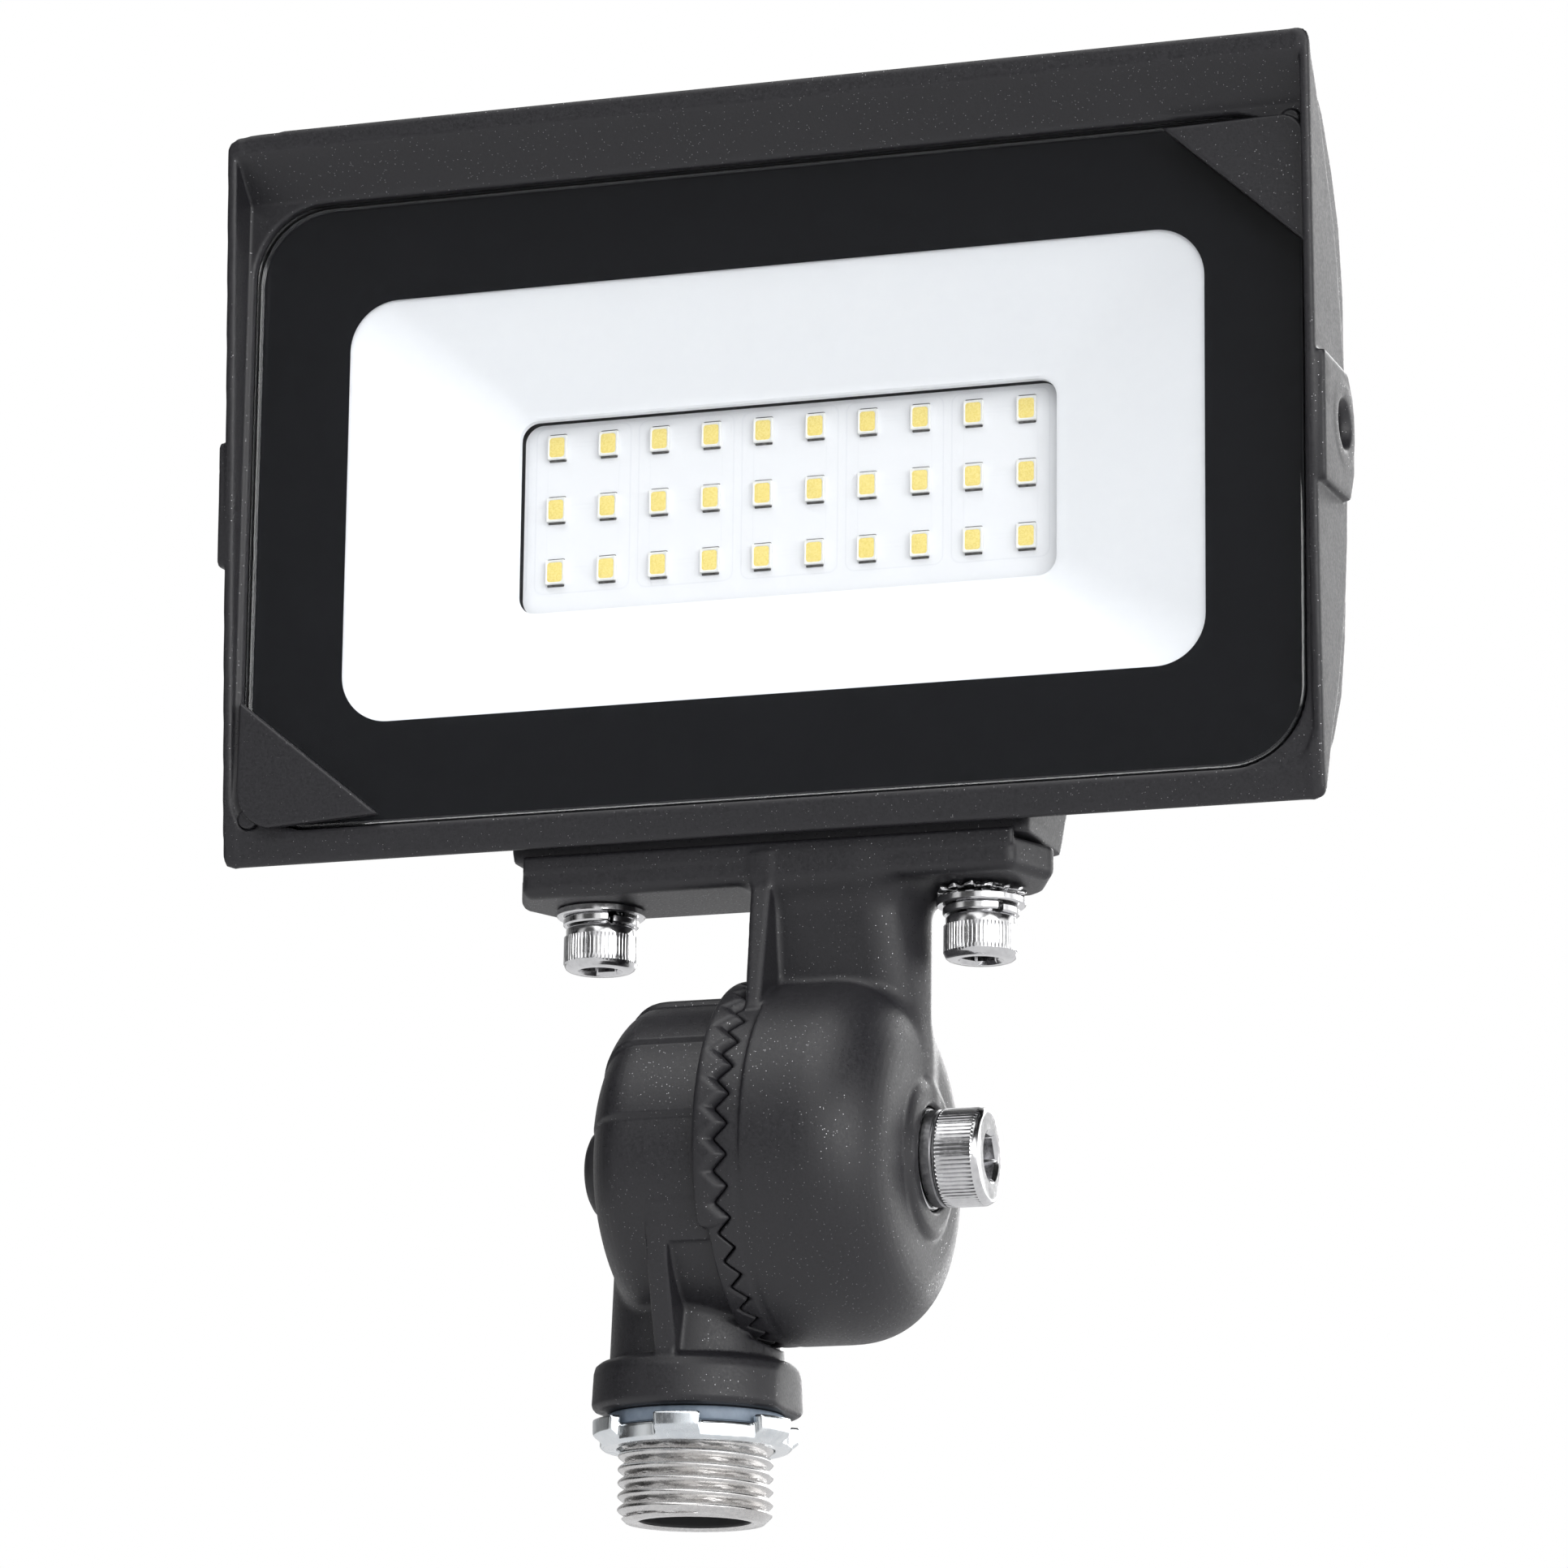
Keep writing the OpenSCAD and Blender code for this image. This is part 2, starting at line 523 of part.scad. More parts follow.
// ---- knuckle base: drum, arm, collar and nipple in one casting ----
module knuckle_base() color([0.2, 0.2, 0.215]) difference() {
    union() {
        // drum with a rounded left end
        xturned(concat([[-11.8, 0], [-11.8, 7.2], [-11.1, 8.6], [-10.8, 10]],
            [for (a = [30:10:90]) [-10.8 + 8.2 * (1 - pow(cos(a), 0.87)), 4.3 + (drum_r - 4.3) * pow(sin(a), 0.87)]],
            [[7.2, drum_r], [7.2, 25], [8.2, 25.2], [tooth_x - 1.15, 24.4], [tooth_x - 1.15, 0]]));
        tooth_ring(tooth_x - 1.15, tooth_x - 1.15 + tooth_h, 24);
        // arm, cut flat where the upper knuckle half passes it, and the rib on its front
        difference() {
            union() {
                translate([-1.4, 0, nipple_l + 1]) cylinder(h = 20, r = arm_r - 2);
                translate([0, 0, nipple_l + 1]) cylinder(h = 14.5, r = arm_r);
            }
            block([tooth_x - 1.2, -20, nipple_l + 8], [20, 20, nipple_l + 25]);
        }
        block([-3.6, -arm_r - 1.4, nipple_l + 7], [-0.5, 0, pivot_z - 8]);
        // collar
        translate([0, 0, nipple_l]) rotate_extrude() polygon([
            [0, 0], [collar_r - 0.6, 0], [collar_r, 0.6], [collar_r, 5.4], [collar_r - 0.6, 6.6], [collar_r - 1.9, 7], [0, 7]]);
        // nipple, drawn at the crest of its thread
        rotate_extrude() polygon([
            [0, 0], [nipple_r - 0.6, 0], [nipple_r, 0.6], [nipple_r, 8.3], [nipple_r - 0.6, 8.5], [nipple_r - 0.6, 8.9],
            [nipple_r, 9.1], [nipple_r, nipple_l + 1], [0, nipple_l + 1]]);
    }
    // wire chamber round the nut's boss
    difference() {
        xturned([[-7, 0], [-7, 15], [-5, 17.6], [-2.5, ring_in], [15, ring_in], [15, 0]]);
        xbar(-8, -0.5, 9.6);
    }
    // wire way
    translate([0, 0, -1]) cylinder(h = 33, r = wire_r);
    xbar(-20, 15, 4.5);
    xhex(-16, -2.5, 13.2);
}

// ---- fittings on the nipple ----
module conduit_gasket() color([0.45, 0.5, 0.56]) difference() {
    translate([0, 0, nipple_l - 2.05]) cylinder(h = 2, r = 12);
    translate([0, 0, nipple_l - 4]) cylinder(h = 6, r = nipple_r + 0.06);
}

// Stamped ring with lugs bent up round the gasket
module locknut() color([0.72, 0.75, 0.76]) difference() {
    union() {
        translate([0, 0, 9.7]) cylinder(h = 2.7, r = 12.9);
        for (i = [0:5]) intersection() {
            difference() {
                translate([0, 0, 10.6]) cylinder(h = 2.9, r = 14.3);
                translate([0, 0, 12.3]) cylinder(h = 4, r = 12.7);
            }
            rotate(i * 60 + 15) translate([8, -3.1, 8]) cube([10, 6.2, 8]);
        }
    }
    translate([0, 0, 5]) cylinder(h = 12, r = nipple_r + 0.06);
}

housing();
glass_lens();
lens_gasket();
corner_clips();
clip_screws();
reflector();
led_board();
led_packages();
led_phosphors();
board_screws();
led_leads();
driver_board();
driver_transformer();
driver_capacitors();
driver_terminal();
driver_screws();
rear_cover();
rear_gasket();
rear_cover_screws();
wire_grommet();
pad_gasket();
bracket();
m6_bolts();
m6_spring_washers();
m6_flat_washers();
star_washer();
knuckle_seal();
pivot_bolt();
pivot_washer();
pivot_spring_washer();
knuckle_base();
pivot_nut();
cap_plug();
conduit_gasket();
locknut();
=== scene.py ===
import math

import bmesh
import bpy
import numpy as np
from mathutils import Matrix, Vector


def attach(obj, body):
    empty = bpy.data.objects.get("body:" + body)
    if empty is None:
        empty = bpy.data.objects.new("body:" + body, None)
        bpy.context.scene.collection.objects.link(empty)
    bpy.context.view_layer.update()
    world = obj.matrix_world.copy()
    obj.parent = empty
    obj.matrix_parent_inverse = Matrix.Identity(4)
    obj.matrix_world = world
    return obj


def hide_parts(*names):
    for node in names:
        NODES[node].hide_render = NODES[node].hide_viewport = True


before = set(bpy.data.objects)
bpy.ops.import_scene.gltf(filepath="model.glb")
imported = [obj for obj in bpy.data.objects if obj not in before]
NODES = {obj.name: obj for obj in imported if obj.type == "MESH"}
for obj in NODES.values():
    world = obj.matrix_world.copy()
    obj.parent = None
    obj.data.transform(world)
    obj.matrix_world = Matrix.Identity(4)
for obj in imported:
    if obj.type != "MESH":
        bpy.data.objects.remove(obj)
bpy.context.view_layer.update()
scene = bpy.context.scene

# ---------------------------------------------------------------- places
# Every length below is in millimetres; pieces are scaled to metres when they are made.
HEAD = np.array([12.4, -11.7, 141.5])   # lamp head's own origin (centre of the window) in the row frame
PZ = 48.1                               # height of the tilt axis
TOOTH_X = 10.98                         # middle plane of the teeth
TEETH = 36


# ---------------------------------------------------------------- camera
def make_camera():
    cam = bpy.data.cameras.new("camera")
    ob = bpy.data.objects.new("camera", cam)
    scene.collection.objects.link(ob)
    yaw, pitch, roll = (math.radians(a) for a in (-18.74, -13.29, 0.64))
    cy, sy, cp, sp, cr, sr = math.cos(yaw), math.sin(yaw), math.cos(pitch), math.sin(pitch), math.cos(roll), math.sin(roll)
    r = (np.array([[cr, -sr, 0], [sr, cr, 0], [0, 0, 1]]) @ np.array([[1, 0, 0], [0, cp, -sp], [0, sp, cp]])
         @ np.array([[1, 0, 0], [0, 0, -1], [0, 1, 0]]) @ np.array([[cy, -sy, 0], [sy, cy, 0], [0, 0, 1]]))
    t = np.array([-2.112, -37.075, 799.0]) * 1.128
    c = (-r.T @ t + HEAD) / 1000
    m = Matrix.Identity(4)
    for i in range(3):
        m[i][0], m[i][1], m[i][2], m[i][3] = r[0][i], -r[1][i], -r[2][i], c[i]
    ob.matrix_world = m
    cam.sensor_width = 36
    cam.lens = 8113 / 1932 * 36
    cam.clip_start, cam.clip_end = 0.05, 50
    scene.camera = ob
    return ob


camera = make_camera()


# ================================================================ castings
# A casting is a distance field on a grid: solids are joined and cut with rounded edges and fillets,
# as in a mould, and its surface becomes a mesh.
def round_max(a, b, r):
    """The overlap of two solids, with their common edge rounded to radius r."""
    if r <= 0:
        return np.maximum(a, b)
    return np.minimum(np.maximum(a, b), -r) + np.sqrt(np.maximum(a + r, 0) ** 2 + np.maximum(b + r, 0) ** 2)


def round_min(a, b, r):
    """Two solids joined, with a fillet of radius r between them."""
    if r <= 0:
        return np.minimum(a, b)
    return np.maximum(np.minimum(a, b), r) - np.sqrt(np.maximum(r - a, 0) ** 2 + np.maximum(r - b, 0) ** 2)


def smooth(t):
    t = np.clip(t, 0, 1)
    return t * t * (3 - 2 * t)


def poly2(p, q, pts):
    """Signed distance to a closed polygon."""
    p, q = np.broadcast_arrays(np.asarray(p, np.float32), np.asarray(q, np.float32))
    best = np.full(p.shape, 1e9, np.float32)
    inside = np.zeros(p.shape, bool)
    for i in range(len(pts)):
        x0, y0 = pts[i - 1]
        x1, y1 = pts[i]
        ex, ey = x1 - x0, y1 - y0
        l2 = ex * ex + ey * ey
        if l2 < 1e-12:
            continue
        t = np.clip(((p - x0) * ex + (q - y0) * ey) / l2, 0, 1)
        best = np.minimum(best, (p - x0 - t * ex) ** 2 + (q - y0 - t * ey) ** 2)
        if ey != 0:
            inside ^= ((y0 <= q) != (y1 <= q)) & (p < x0 + (q - y0) * (ex / ey))
    d = np.sqrt(best)
    return np.where(inside, -d, d)


def inset(pts, r):
    """A convex polygon shrunk by r, whichever way round it runs."""
    pts = [np.array(p, float) for p in pts]
    c = sum(pts) / len(pts)
    lines = []
    for i in range(len(pts)):
        a, b = pts[i - 1], pts[i]
        d = (b - a) / np.linalg.norm(b - a)
        n = np.array([-d[1], d[0]])
        if n @ (c - a) < 0:
            n = -n
        lines.append((n, n @ a + r))
    return [tuple(np.linalg.solve(np.array([lines[i - 1][0], lines[i][0]]), np.array([lines[i - 1][1], lines[i][1]])))
            for i in range(len(lines))]


def box(lo, hi, r=0.0):
    lo, hi = np.array(lo, float), np.array(hi, float)
    c, s = (lo + hi) / 2, (hi - lo) / 2 - r

    def f(x, y, z):
        dx, dy, dz = abs(x - c[0]) - s[0], abs(y - c[1]) - s[1], abs(z - c[2]) - s[2]
        out = np.sqrt(np.maximum(dx, 0) ** 2 + np.maximum(dy, 0) ** 2 + np.maximum(dz, 0) ** 2)
        return out + np.minimum(np.maximum(np.maximum(dx, dy), dz), 0) - r
    return f, lo, hi


def rod(axis, c0, c1, lo, hi, rad, r=0.0):
    """A round bar along an axis, centred at c0, c1 on the other two axes."""
    def f(x, y, z):
        a = (x, y, z)[axis]
        p, q = [v for i, v in enumerate((x, y, z)) if i != axis]
        return round_max(np.sqrt((p - c0) ** 2 + (q - c1) ** 2) - rad, abs(a - (lo + hi) / 2) - (hi - lo) / 2, r)
    o = [i for i in range(3) if i != axis]
    a, b = np.zeros(3), np.zeros(3)
    a[axis], b[axis] = lo, hi
    a[o[0]], b[o[0]] = c0 - rad, c0 + rad
    a[o[1]], b[o[1]] = c1 - rad, c1 + rad
    return f, a, b


def prism(axis, pts, lo, hi, r=0.0, corner=0.0):
    """A polygon drawn out along an axis. r rounds the rims, corner the polygon's own corners, if it is convex."""
    core = inset(pts, corner) if corner else pts

    def f(x, y, z):
        a = (x, y, z)[axis]
        p, q = [v for i, v in enumerate((x, y, z)) if i != axis]
        return round_max(poly2(p, q, core) - corner, abs(a - (lo + hi) / 2) - (hi - lo) / 2, r)
    o = [i for i in range(3) if i != axis]
    a, b = np.zeros(3), np.zeros(3)
    a[axis], b[axis] = lo, hi
    for k, i in enumerate(o):
        a[i], b[i] = min(p[k] for p in pts), max(p[k] for p in pts)
    return f, a, b


def slab(x0, z0, x1, z1, y0, y1, corner, r=0.0):
    """A rounded rectangle drawn out along Y."""
    cx, cz, sx, sz = (x0 + x1) / 2, (z0 + z1) / 2, (x1 - x0) / 2 - corner, (z1 - z0) / 2 - corner

    def f(x, y, z):
        dx, dz = abs(x - cx) - sx, abs(z - cz) - sz
        flat = np.sqrt(np.maximum(dx, 0) ** 2 + np.maximum(dz, 0) ** 2) + np.minimum(np.maximum(dx, dz), 0) - corner
        return round_max(flat, abs(y - (y0 + y1) / 2) - (y1 - y0) / 2, r)
    return f, np.array([x0, y0, z0], float), np.array([x1, y1, z1], float)


def turned(axis, pts, c0=0.0, c1=0.0, recess=None):
    """A polygon of [place along the axis, radius] turned about the axis. recess lowers the surface by angle."""
    r_top = max(p[1] for p in pts)
    mirror = [(a, r) for a, r in pts] + [(a, -r) for a, r in reversed(pts)]

    def f(x, y, z):
        a = (x, y, z)[axis]
        p, q = [v for i, v in enumerate((x, y, z)) if i != axis]
        rad = np.sqrt((p - c0) ** 2 + (q - c1) ** 2)
        if recess is not None:
            rad = rad + recess(p - c0, q - c1)
        fine = np.arange(0, r_top + 9, 0.1, dtype=np.float32)
        line = a.reshape(-1)
        table = poly2(line[:, None], fine[None, :], mirror)
        k = np.clip(rad / 0.1, 0, len(fine) - 1.001)
        i = k.astype(np.int32)
        w = (k - i).astype(np.float32)
        fi, fw = i.reshape(-1), w.reshape(-1)
        t = table[:, fi] * (1 - fw) + table[:, fi + 1] * fw
        return np.moveaxis(t.reshape([line.size] + [v.size for j, v in enumerate((x, y, z)) if j != axis]), 0, axis)
    o = [i for i in range(3) if i != axis]
    lo, hi = np.zeros(3), np.zeros(3)
    lo[axis], hi[axis] = min(p[0] for p in pts), max(p[0] for p in pts)
    lo[o[0]], hi[o[0]] = c0 - r_top, c0 + r_top
    lo[o[1]], hi[o[1]] = c1 - r_top, c1 + r_top
    return f, lo, hi


def both(a, b, r=0.0):
    return (lambda x, y, z: round_max(a[0](x, y, z), b[0](x, y, z), r)), np.maximum(a[1], b[1]), np.minimum(a[2], b[2])


def less(a, b, r=0.0):
    return (lambda x, y, z: round_max(a[0](x, y, z), -b[0](x, y, z), r)), a[1], a[2]


def join(a, b, r=0.0):
    return (lambda x, y, z: round_min(a[0](x, y, z), b[0](x, y, z), r)), np.minimum(a[1], b[1]), np.maximum(a[2], b[2])


class Casting:
    FAR = 8.0

    def __init__(self, lo, hi, h):
        self.h = h
        self.lo = np.array(lo, float)
        n = [int(math.ceil((hi[i] - lo[i]) / h)) + 1 for i in range(3)]
        self.ax = [(lo[i] + h * np.arange(n[i])).astype(np.float32) for i in range(3)]
        self.f = np.full(n, self.FAR, np.float32)

    def part(self, lo, hi, margin):
        s, c = [], []
        for i in range(3):
            a = max(int((lo[i] - margin - self.lo[i]) / self.h), 0)
            b = min(int((hi[i] + margin - self.lo[i]) / self.h) + 2, len(self.ax[i]))
            s.append(slice(a, max(b, a)))
            shape = [1, 1, 1]
            shape[i] = -1
            c.append(self.ax[i][s[-1]].reshape(shape))
        return tuple(s), c

    def add(self, solid, r=0.0):
        f, lo, hi = solid
        s, c = self.part(lo, hi, r + 1.6)
        if self.f[s].size:
            self.f[s] = np.minimum(round_min(self.f[s], f(*c), r), self.FAR)

    def cut(self, solid, r=0.0):
        f, lo, hi = solid
        s, c = self.part(lo, hi, r + 1.6)
        if self.f[s].size:
            self.f[s] = round_max(self.f[s], -f(*c), r)

    def at(self, p):
        g = (p - self.lo) / self.h
        n = np.array(self.f.shape)
        g = np.clip(g, 0, n - 1.001)
        i = g.astype(np.int64)
        w = (g - i).astype(np.float32)
        flat = self.f.reshape(-1)
        base = (i[:, 0] * n[1] + i[:, 1]) * n[2] + i[:, 2]
        out = 0
        for a in (0, 1):
            wa = w[:, 0] if a else 1 - w[:, 0]
            for b in (0, 1):
                wb = wa * (w[:, 1] if b else 1 - w[:, 1])
                for d in (0, 1):
                    out = out + wb * (w[:, 2] if d else 1 - w[:, 2]) * flat[base + (a * n[1] + b) * n[2] + d]
        return out

    def slope(self, p, e=0.6):
        e = self.h * e
        return np.stack([self.at(p + np.eye(3)[i] * e) - self.at(p - np.eye(3)[i] * e) for i in range(3)], 1) / (2 * e)

    def surface(self):
        """Quads on the surface, one corner in each cell it crosses."""
        f = self.f
        for i in range(3):
            edge = [slice(None)] * 3
            for k in (0, -1):
                edge[i] = k
                f[tuple(edge)] = np.maximum(f[tuple(edge)], 0.5)
        s = f < 0
        n = f.shape
        count = np.zeros([k - 1 for k in n], np.int8)
        for a in (0, 1):
            for b in (0, 1):
                for d in (0, 1):
                    count += s[a:n[0] - 1 + a, b:n[1] - 1 + b, d:n[2] - 1 + d]
        cells = np.argwhere((count > 0) & (count < 8))
        index = np.full(count.shape, -1, np.int32)
        index[tuple(cells.T)] = np.arange(len(cells))
        corner = {(a, b, d): f[cells[:, 0] + a, cells[:, 1] + b, cells[:, 2] + d]
                  for a in (0, 1) for b in (0, 1) for d in (0, 1)}
        total = np.zeros((len(cells), 3), np.float32)
        hits = np.zeros(len(cells), np.float32)
        for axis in range(3):
            o = [i for i in range(3) if i != axis]
            for a in (0, 1):
                for b in (0, 1):
                    k0, k1 = [0, 0, 0], [0, 0, 0]
                    k0[o[0]] = k1[o[0]] = a
                    k0[o[1]] = k1[o[1]] = b
                    k1[axis] = 1
                    v0, v1 = corner[tuple(k0)], corner[tuple(k1)]
                    m = (v0 < 0) != (v1 < 0)
                    hits += m
                    total[:, axis] += np.where(m, v0 / np.where(m, v0 - v1, 1), 0)
                    total[:, o[0]] += np.where(m, a, 0)
                    total[:, o[1]] += np.where(m, b, 0)
        p = self.lo + (cells + total / hits[:, None]) * self.h
        quads = []
        for axis in range(3):
            o = [(axis + 1) % 3, (axis + 2) % 3]
            s0, s1 = [slice(None)] * 3, [slice(None)] * 3
            s0[axis], s1[axis] = slice(0, n[axis] - 1), slice(1, n[axis])
            for i in o:
                s0[i] = s1[i] = slice(1, n[i] - 1)
            a, b = s[tuple(s0)], s[tuple(s1)]
            e = np.argwhere(a != b)
            out = a[tuple(e.T)]
            e[:, o[0]] += 1
            e[:, o[1]] += 1
            ring = []
            for da, db in ((1, 1), (0, 1), (0, 0), (1, 0)):
                k = e.copy()
                k[:, o[0]] -= da
                k[:, o[1]] -= db
                ring.append(index[tuple(k.T)])
            q = np.stack(ring, 1)
            q[~out] = q[~out][:, ::-1]
            quads.append(q)
        quads = np.concatenate(quads)
        quads = quads[(quads >= 0).all(1)]
        for _ in range(3):
            g = self.slope(p)
            step = -(self.at(p) / np.maximum((g * g).sum(1), 0.25))[:, None] * g
            long = np.linalg.norm(step, axis=1, keepdims=True)
            p = p + step * np.minimum(1, 0.4 * self.h / np.maximum(long, 1e-9))
        return p, quads


def mesh_of(name, points, faces):
    """A mesh from numbered corners; faces is an array of quads or triangles."""
    me = bpy.data.meshes.new(name)
    m, k = faces.shape
    me.vertices.add(len(points))
    me.vertices.foreach_set("co", np.asarray(points, np.float32).reshape(-1))
    me.loops.add(m * k)
    me.loops.foreach_set("vertex_index", faces.astype(np.int32).reshape(-1))
    me.polygons.add(m)
    me.polygons.foreach_set("loop_start", np.arange(m, dtype=np.int32) * k)
    me.polygons.foreach_set("loop_total", np.full(m, k, np.int32))
    me.polygons.foreach_set("use_smooth", np.ones(m, bool))
    me.update(calc_edges=True)
    return me


def cast(name, casting, shift=(0, 0, 0), most=180000):
    """The casting's surface as an object, thinned to at most so many triangles, shaded by the field itself."""
    p, quads = casting.surface()
    me = mesh_of(name, p, quads)
    ob = bpy.data.objects.new(name, me)
    scene.collection.objects.link(ob)
    ratio = most / (2 * len(quads))
    if ratio < 1:
        mod = ob.modifiers.new("thin", "DECIMATE")
        mod.ratio = ratio
        dg = bpy.context.evaluated_depsgraph_get()
        thin = bpy.data.meshes.new_from_object(ob.evaluated_get(dg))
        ob.modifiers.clear()
        ob.data = thin
        bpy.data.meshes.remove(me)
        me = thin
        me.name = name
    co = np.zeros(len(me.vertices) * 3, np.float32)
    me.vertices.foreach_get("co", co)
    co = co.reshape(-1, 3)
    g = casting.slope(co.astype(float), 0.9)
    g /= np.maximum(np.linalg.norm(g, axis=1, keepdims=True), 1e-9)
    me.vertices.foreach_set("co", ((co + np.array(shift)) / 1000).astype(np.float32).reshape(-1))
    me.polygons.foreach_set("use_smooth", np.ones(len(me.polygons), bool))
    me.normals_split_custom_set_from_vertices(g.tolist())
    me.update()
    return ob


def super_arc(x_edge, x_end, r_big, r_flat, n, steps=16):
    """Points of a rounded shoulder from the cylinder at x_edge to the flat end at x_end."""
    return [(x_edge + (x_end - x_edge) * math.cos(math.radians(90 - 90 * i / steps)) ** (2 / n),
             r_flat + (r_big - r_flat) * math.sin(math.radians(90 - 90 * i / steps)) ** (2 / n)) for i in range(steps + 1)]


# ---------------------------------------------------------------- knuckle
def from_top(y, z):
    """Angle from the top of the knuckle, the same towards the front and the back, in degrees."""
    return np.degrees(np.arctan2(abs(y), z - PZ))


def tooth_line(y, z):
    """Where the two halves meet, along X: a zigzag with softened points."""
    t = (np.degrees(np.arctan2(-y, z - PZ)) - 0.9) * TEETH / 360
    t = t - np.floor(t)
    w = 1 - 4 * abs(t - 0.5)
    w = np.where(abs(w) > 0.84, np.sign(w) * (0.84 + 0.08 * (1 - ((1 - abs(w)) / 0.16) ** 2)), w)
    return TOOTH_X + 1.02 * w


def toothed(side, r_in, r_out, reach, edge, gap=0.1):
    """The toothed ring of one knuckle half; side 1 is the half at greater X. r_out may depend on the angle."""
    def f(x, y, z):
        rad = np.sqrt(y ** 2 + (z - PZ) ** 2)
        face = side * (tooth_line(y, z) - x) * 0.74 + gap
        back = side * (x - (TOOTH_X + side * reach))
        out = r_out(from_top(y, z)) if callable(r_out) else r_out
        return round_max(round_max(np.maximum(face, r_in - rad), rad - out, edge), back, 0)
    r = 25.4
    return f, np.array([TOOTH_X - 5, -r, PZ - r]), np.array([TOOTH_X + 5, r, PZ + r])


def make_bracket():
    h = 0.33
    c = Casting((-26.9, -26, 22.4), (51.8, 26, 91.5), h)
    # domed half
    dome = [(12.2, 0), (12.2, 24.5)] + super_arc(20.8, 32.4, 24.5, 13.0, 2.25) + [(32.4, 0)]
    c.add(turned(0, dome, 0, PZ))
    upper = lambda a: 24.0 + 0.5 * smooth((a - 84) / 26)
    step = (lambda x, y, z: np.maximum(upper(from_top(y, z)) - np.sqrt(y ** 2 + (z - PZ) ** 2), x - 13.8),
            np.array([9, -26.0, PZ - 26]), np.array([13.8, 26.0, PZ + 26]))
    c.cut(step, 0.3)
    c.add(toothed(1, 18.5, upper, 1.9, 0.45))

    # neck with a blunt wedge for its right side, its front sloping back on the way down
    def column(x, y, z):
        side = round_max((x - 28.4) * 0.879 + (np.sqrt(y * y + 4) - 9.8) * 0.477, abs(y) - 9.6, 3.2)
        side = round_max(side, 11.6 - x, 1.0)
        return round_max(side, -(y + 10.4 - 0.27 * np.maximum(84.5 - z, 0)) * 0.965, 3.2)
    neck = (lambda x, y, z: np.maximum(np.maximum(column(x, y, z), 52 - z), z - 89)), np.array([11.4, -10.7, 52]), np.array([32.9, 9.6, 89])
    c.add(neck, 1.6)
    # plate
    pl = [(-38.1, 9.3), (-34.9, 1.1), (34.9, 1.1), (38.1, 9.3), (38.1, 9.8), (34.6, 17.8), (32.6, 19.6), (-32.6, 19.6), (-34.6, 17.8), (-38.1, 9.8)]
    flat = prism(2, [(a + HEAD[0], b + HEAD[1]) for a, b in pl], 80, 89.5, 0.5, 1.6)
    plate = (lambda x, y, z: round_max(flat[0](x, y, z), 85.0 - z, 1.5)), np.array([flat[1][0], flat[1][1], 85.0]), flat[2]
    c.add(plate, 4.2)
    # its thin front lip, up to the housing's edge
    c.add(prism(2, [(a + HEAD[0], b + HEAD[1]) for a, b in ((-34.9, 1.0), (34.9, 1.0), (35.1, 1.6), (-35.1, 1.6))], 88.4, 90.75), 0.2)

    # the thin web on the neck's left side, down to the toothed ring
    web = prism(0, [(-10.7, 89.0), (-10.7, 85.4), (-15.0, PZ + 19.2), (-9, PZ + 15), (9, PZ + 15), (15.0, PZ + 19.2), (10.7, 85.4), (10.7, 89.0)], 0, 13.4, 0.5)

    def lean(x, y, z):
        return round_max(web[0](x, y, z), (10.4 + np.maximum(85 - z, 0) * 0.045 - x), 0.6)
    c.add((lean, np.array([10.4, -15.0, PZ + 15]), np.array([13.4, 15.0, 89.0])), 0.9)
    # raised ring round the bolt
    c.add(turned(0, [(28, 0), (28, 10.2), (32.7, 10.0), (33.1, 9.6), (33.3, 9.0), (33.3, 0)], 0, PZ), 1.7)
    # wire room, bolt hole and its recess, wire way, bolt holes of the plate
    room = less(turned(0, [(5, 0), (5, 18.4), (22, 18.4), (26, 17), (28.4, 13.5), (28.4, 0)], 0, PZ), rod(0, 0, PZ, 21, 30, 9.4), 0.5)
    c.cut(room, 0.3)
    c.cut(rod(0, 0, PZ, 5, 45, 4.5), 0.3)
    c.cut(rod(0, 0, PZ, 31.5, 45, 7.2), 0.6)
    c.cut(rod(2, HEAD[0] + 7.9, 0, PZ + 15, 100, 4.0), 0.3)
    for s in (-1, 1):
        c.cut(rod(2, HEAD[0] + s * 27.35, 0, 80, 100, 3.4), 0.3)
    return cast("bracket_casting", c)


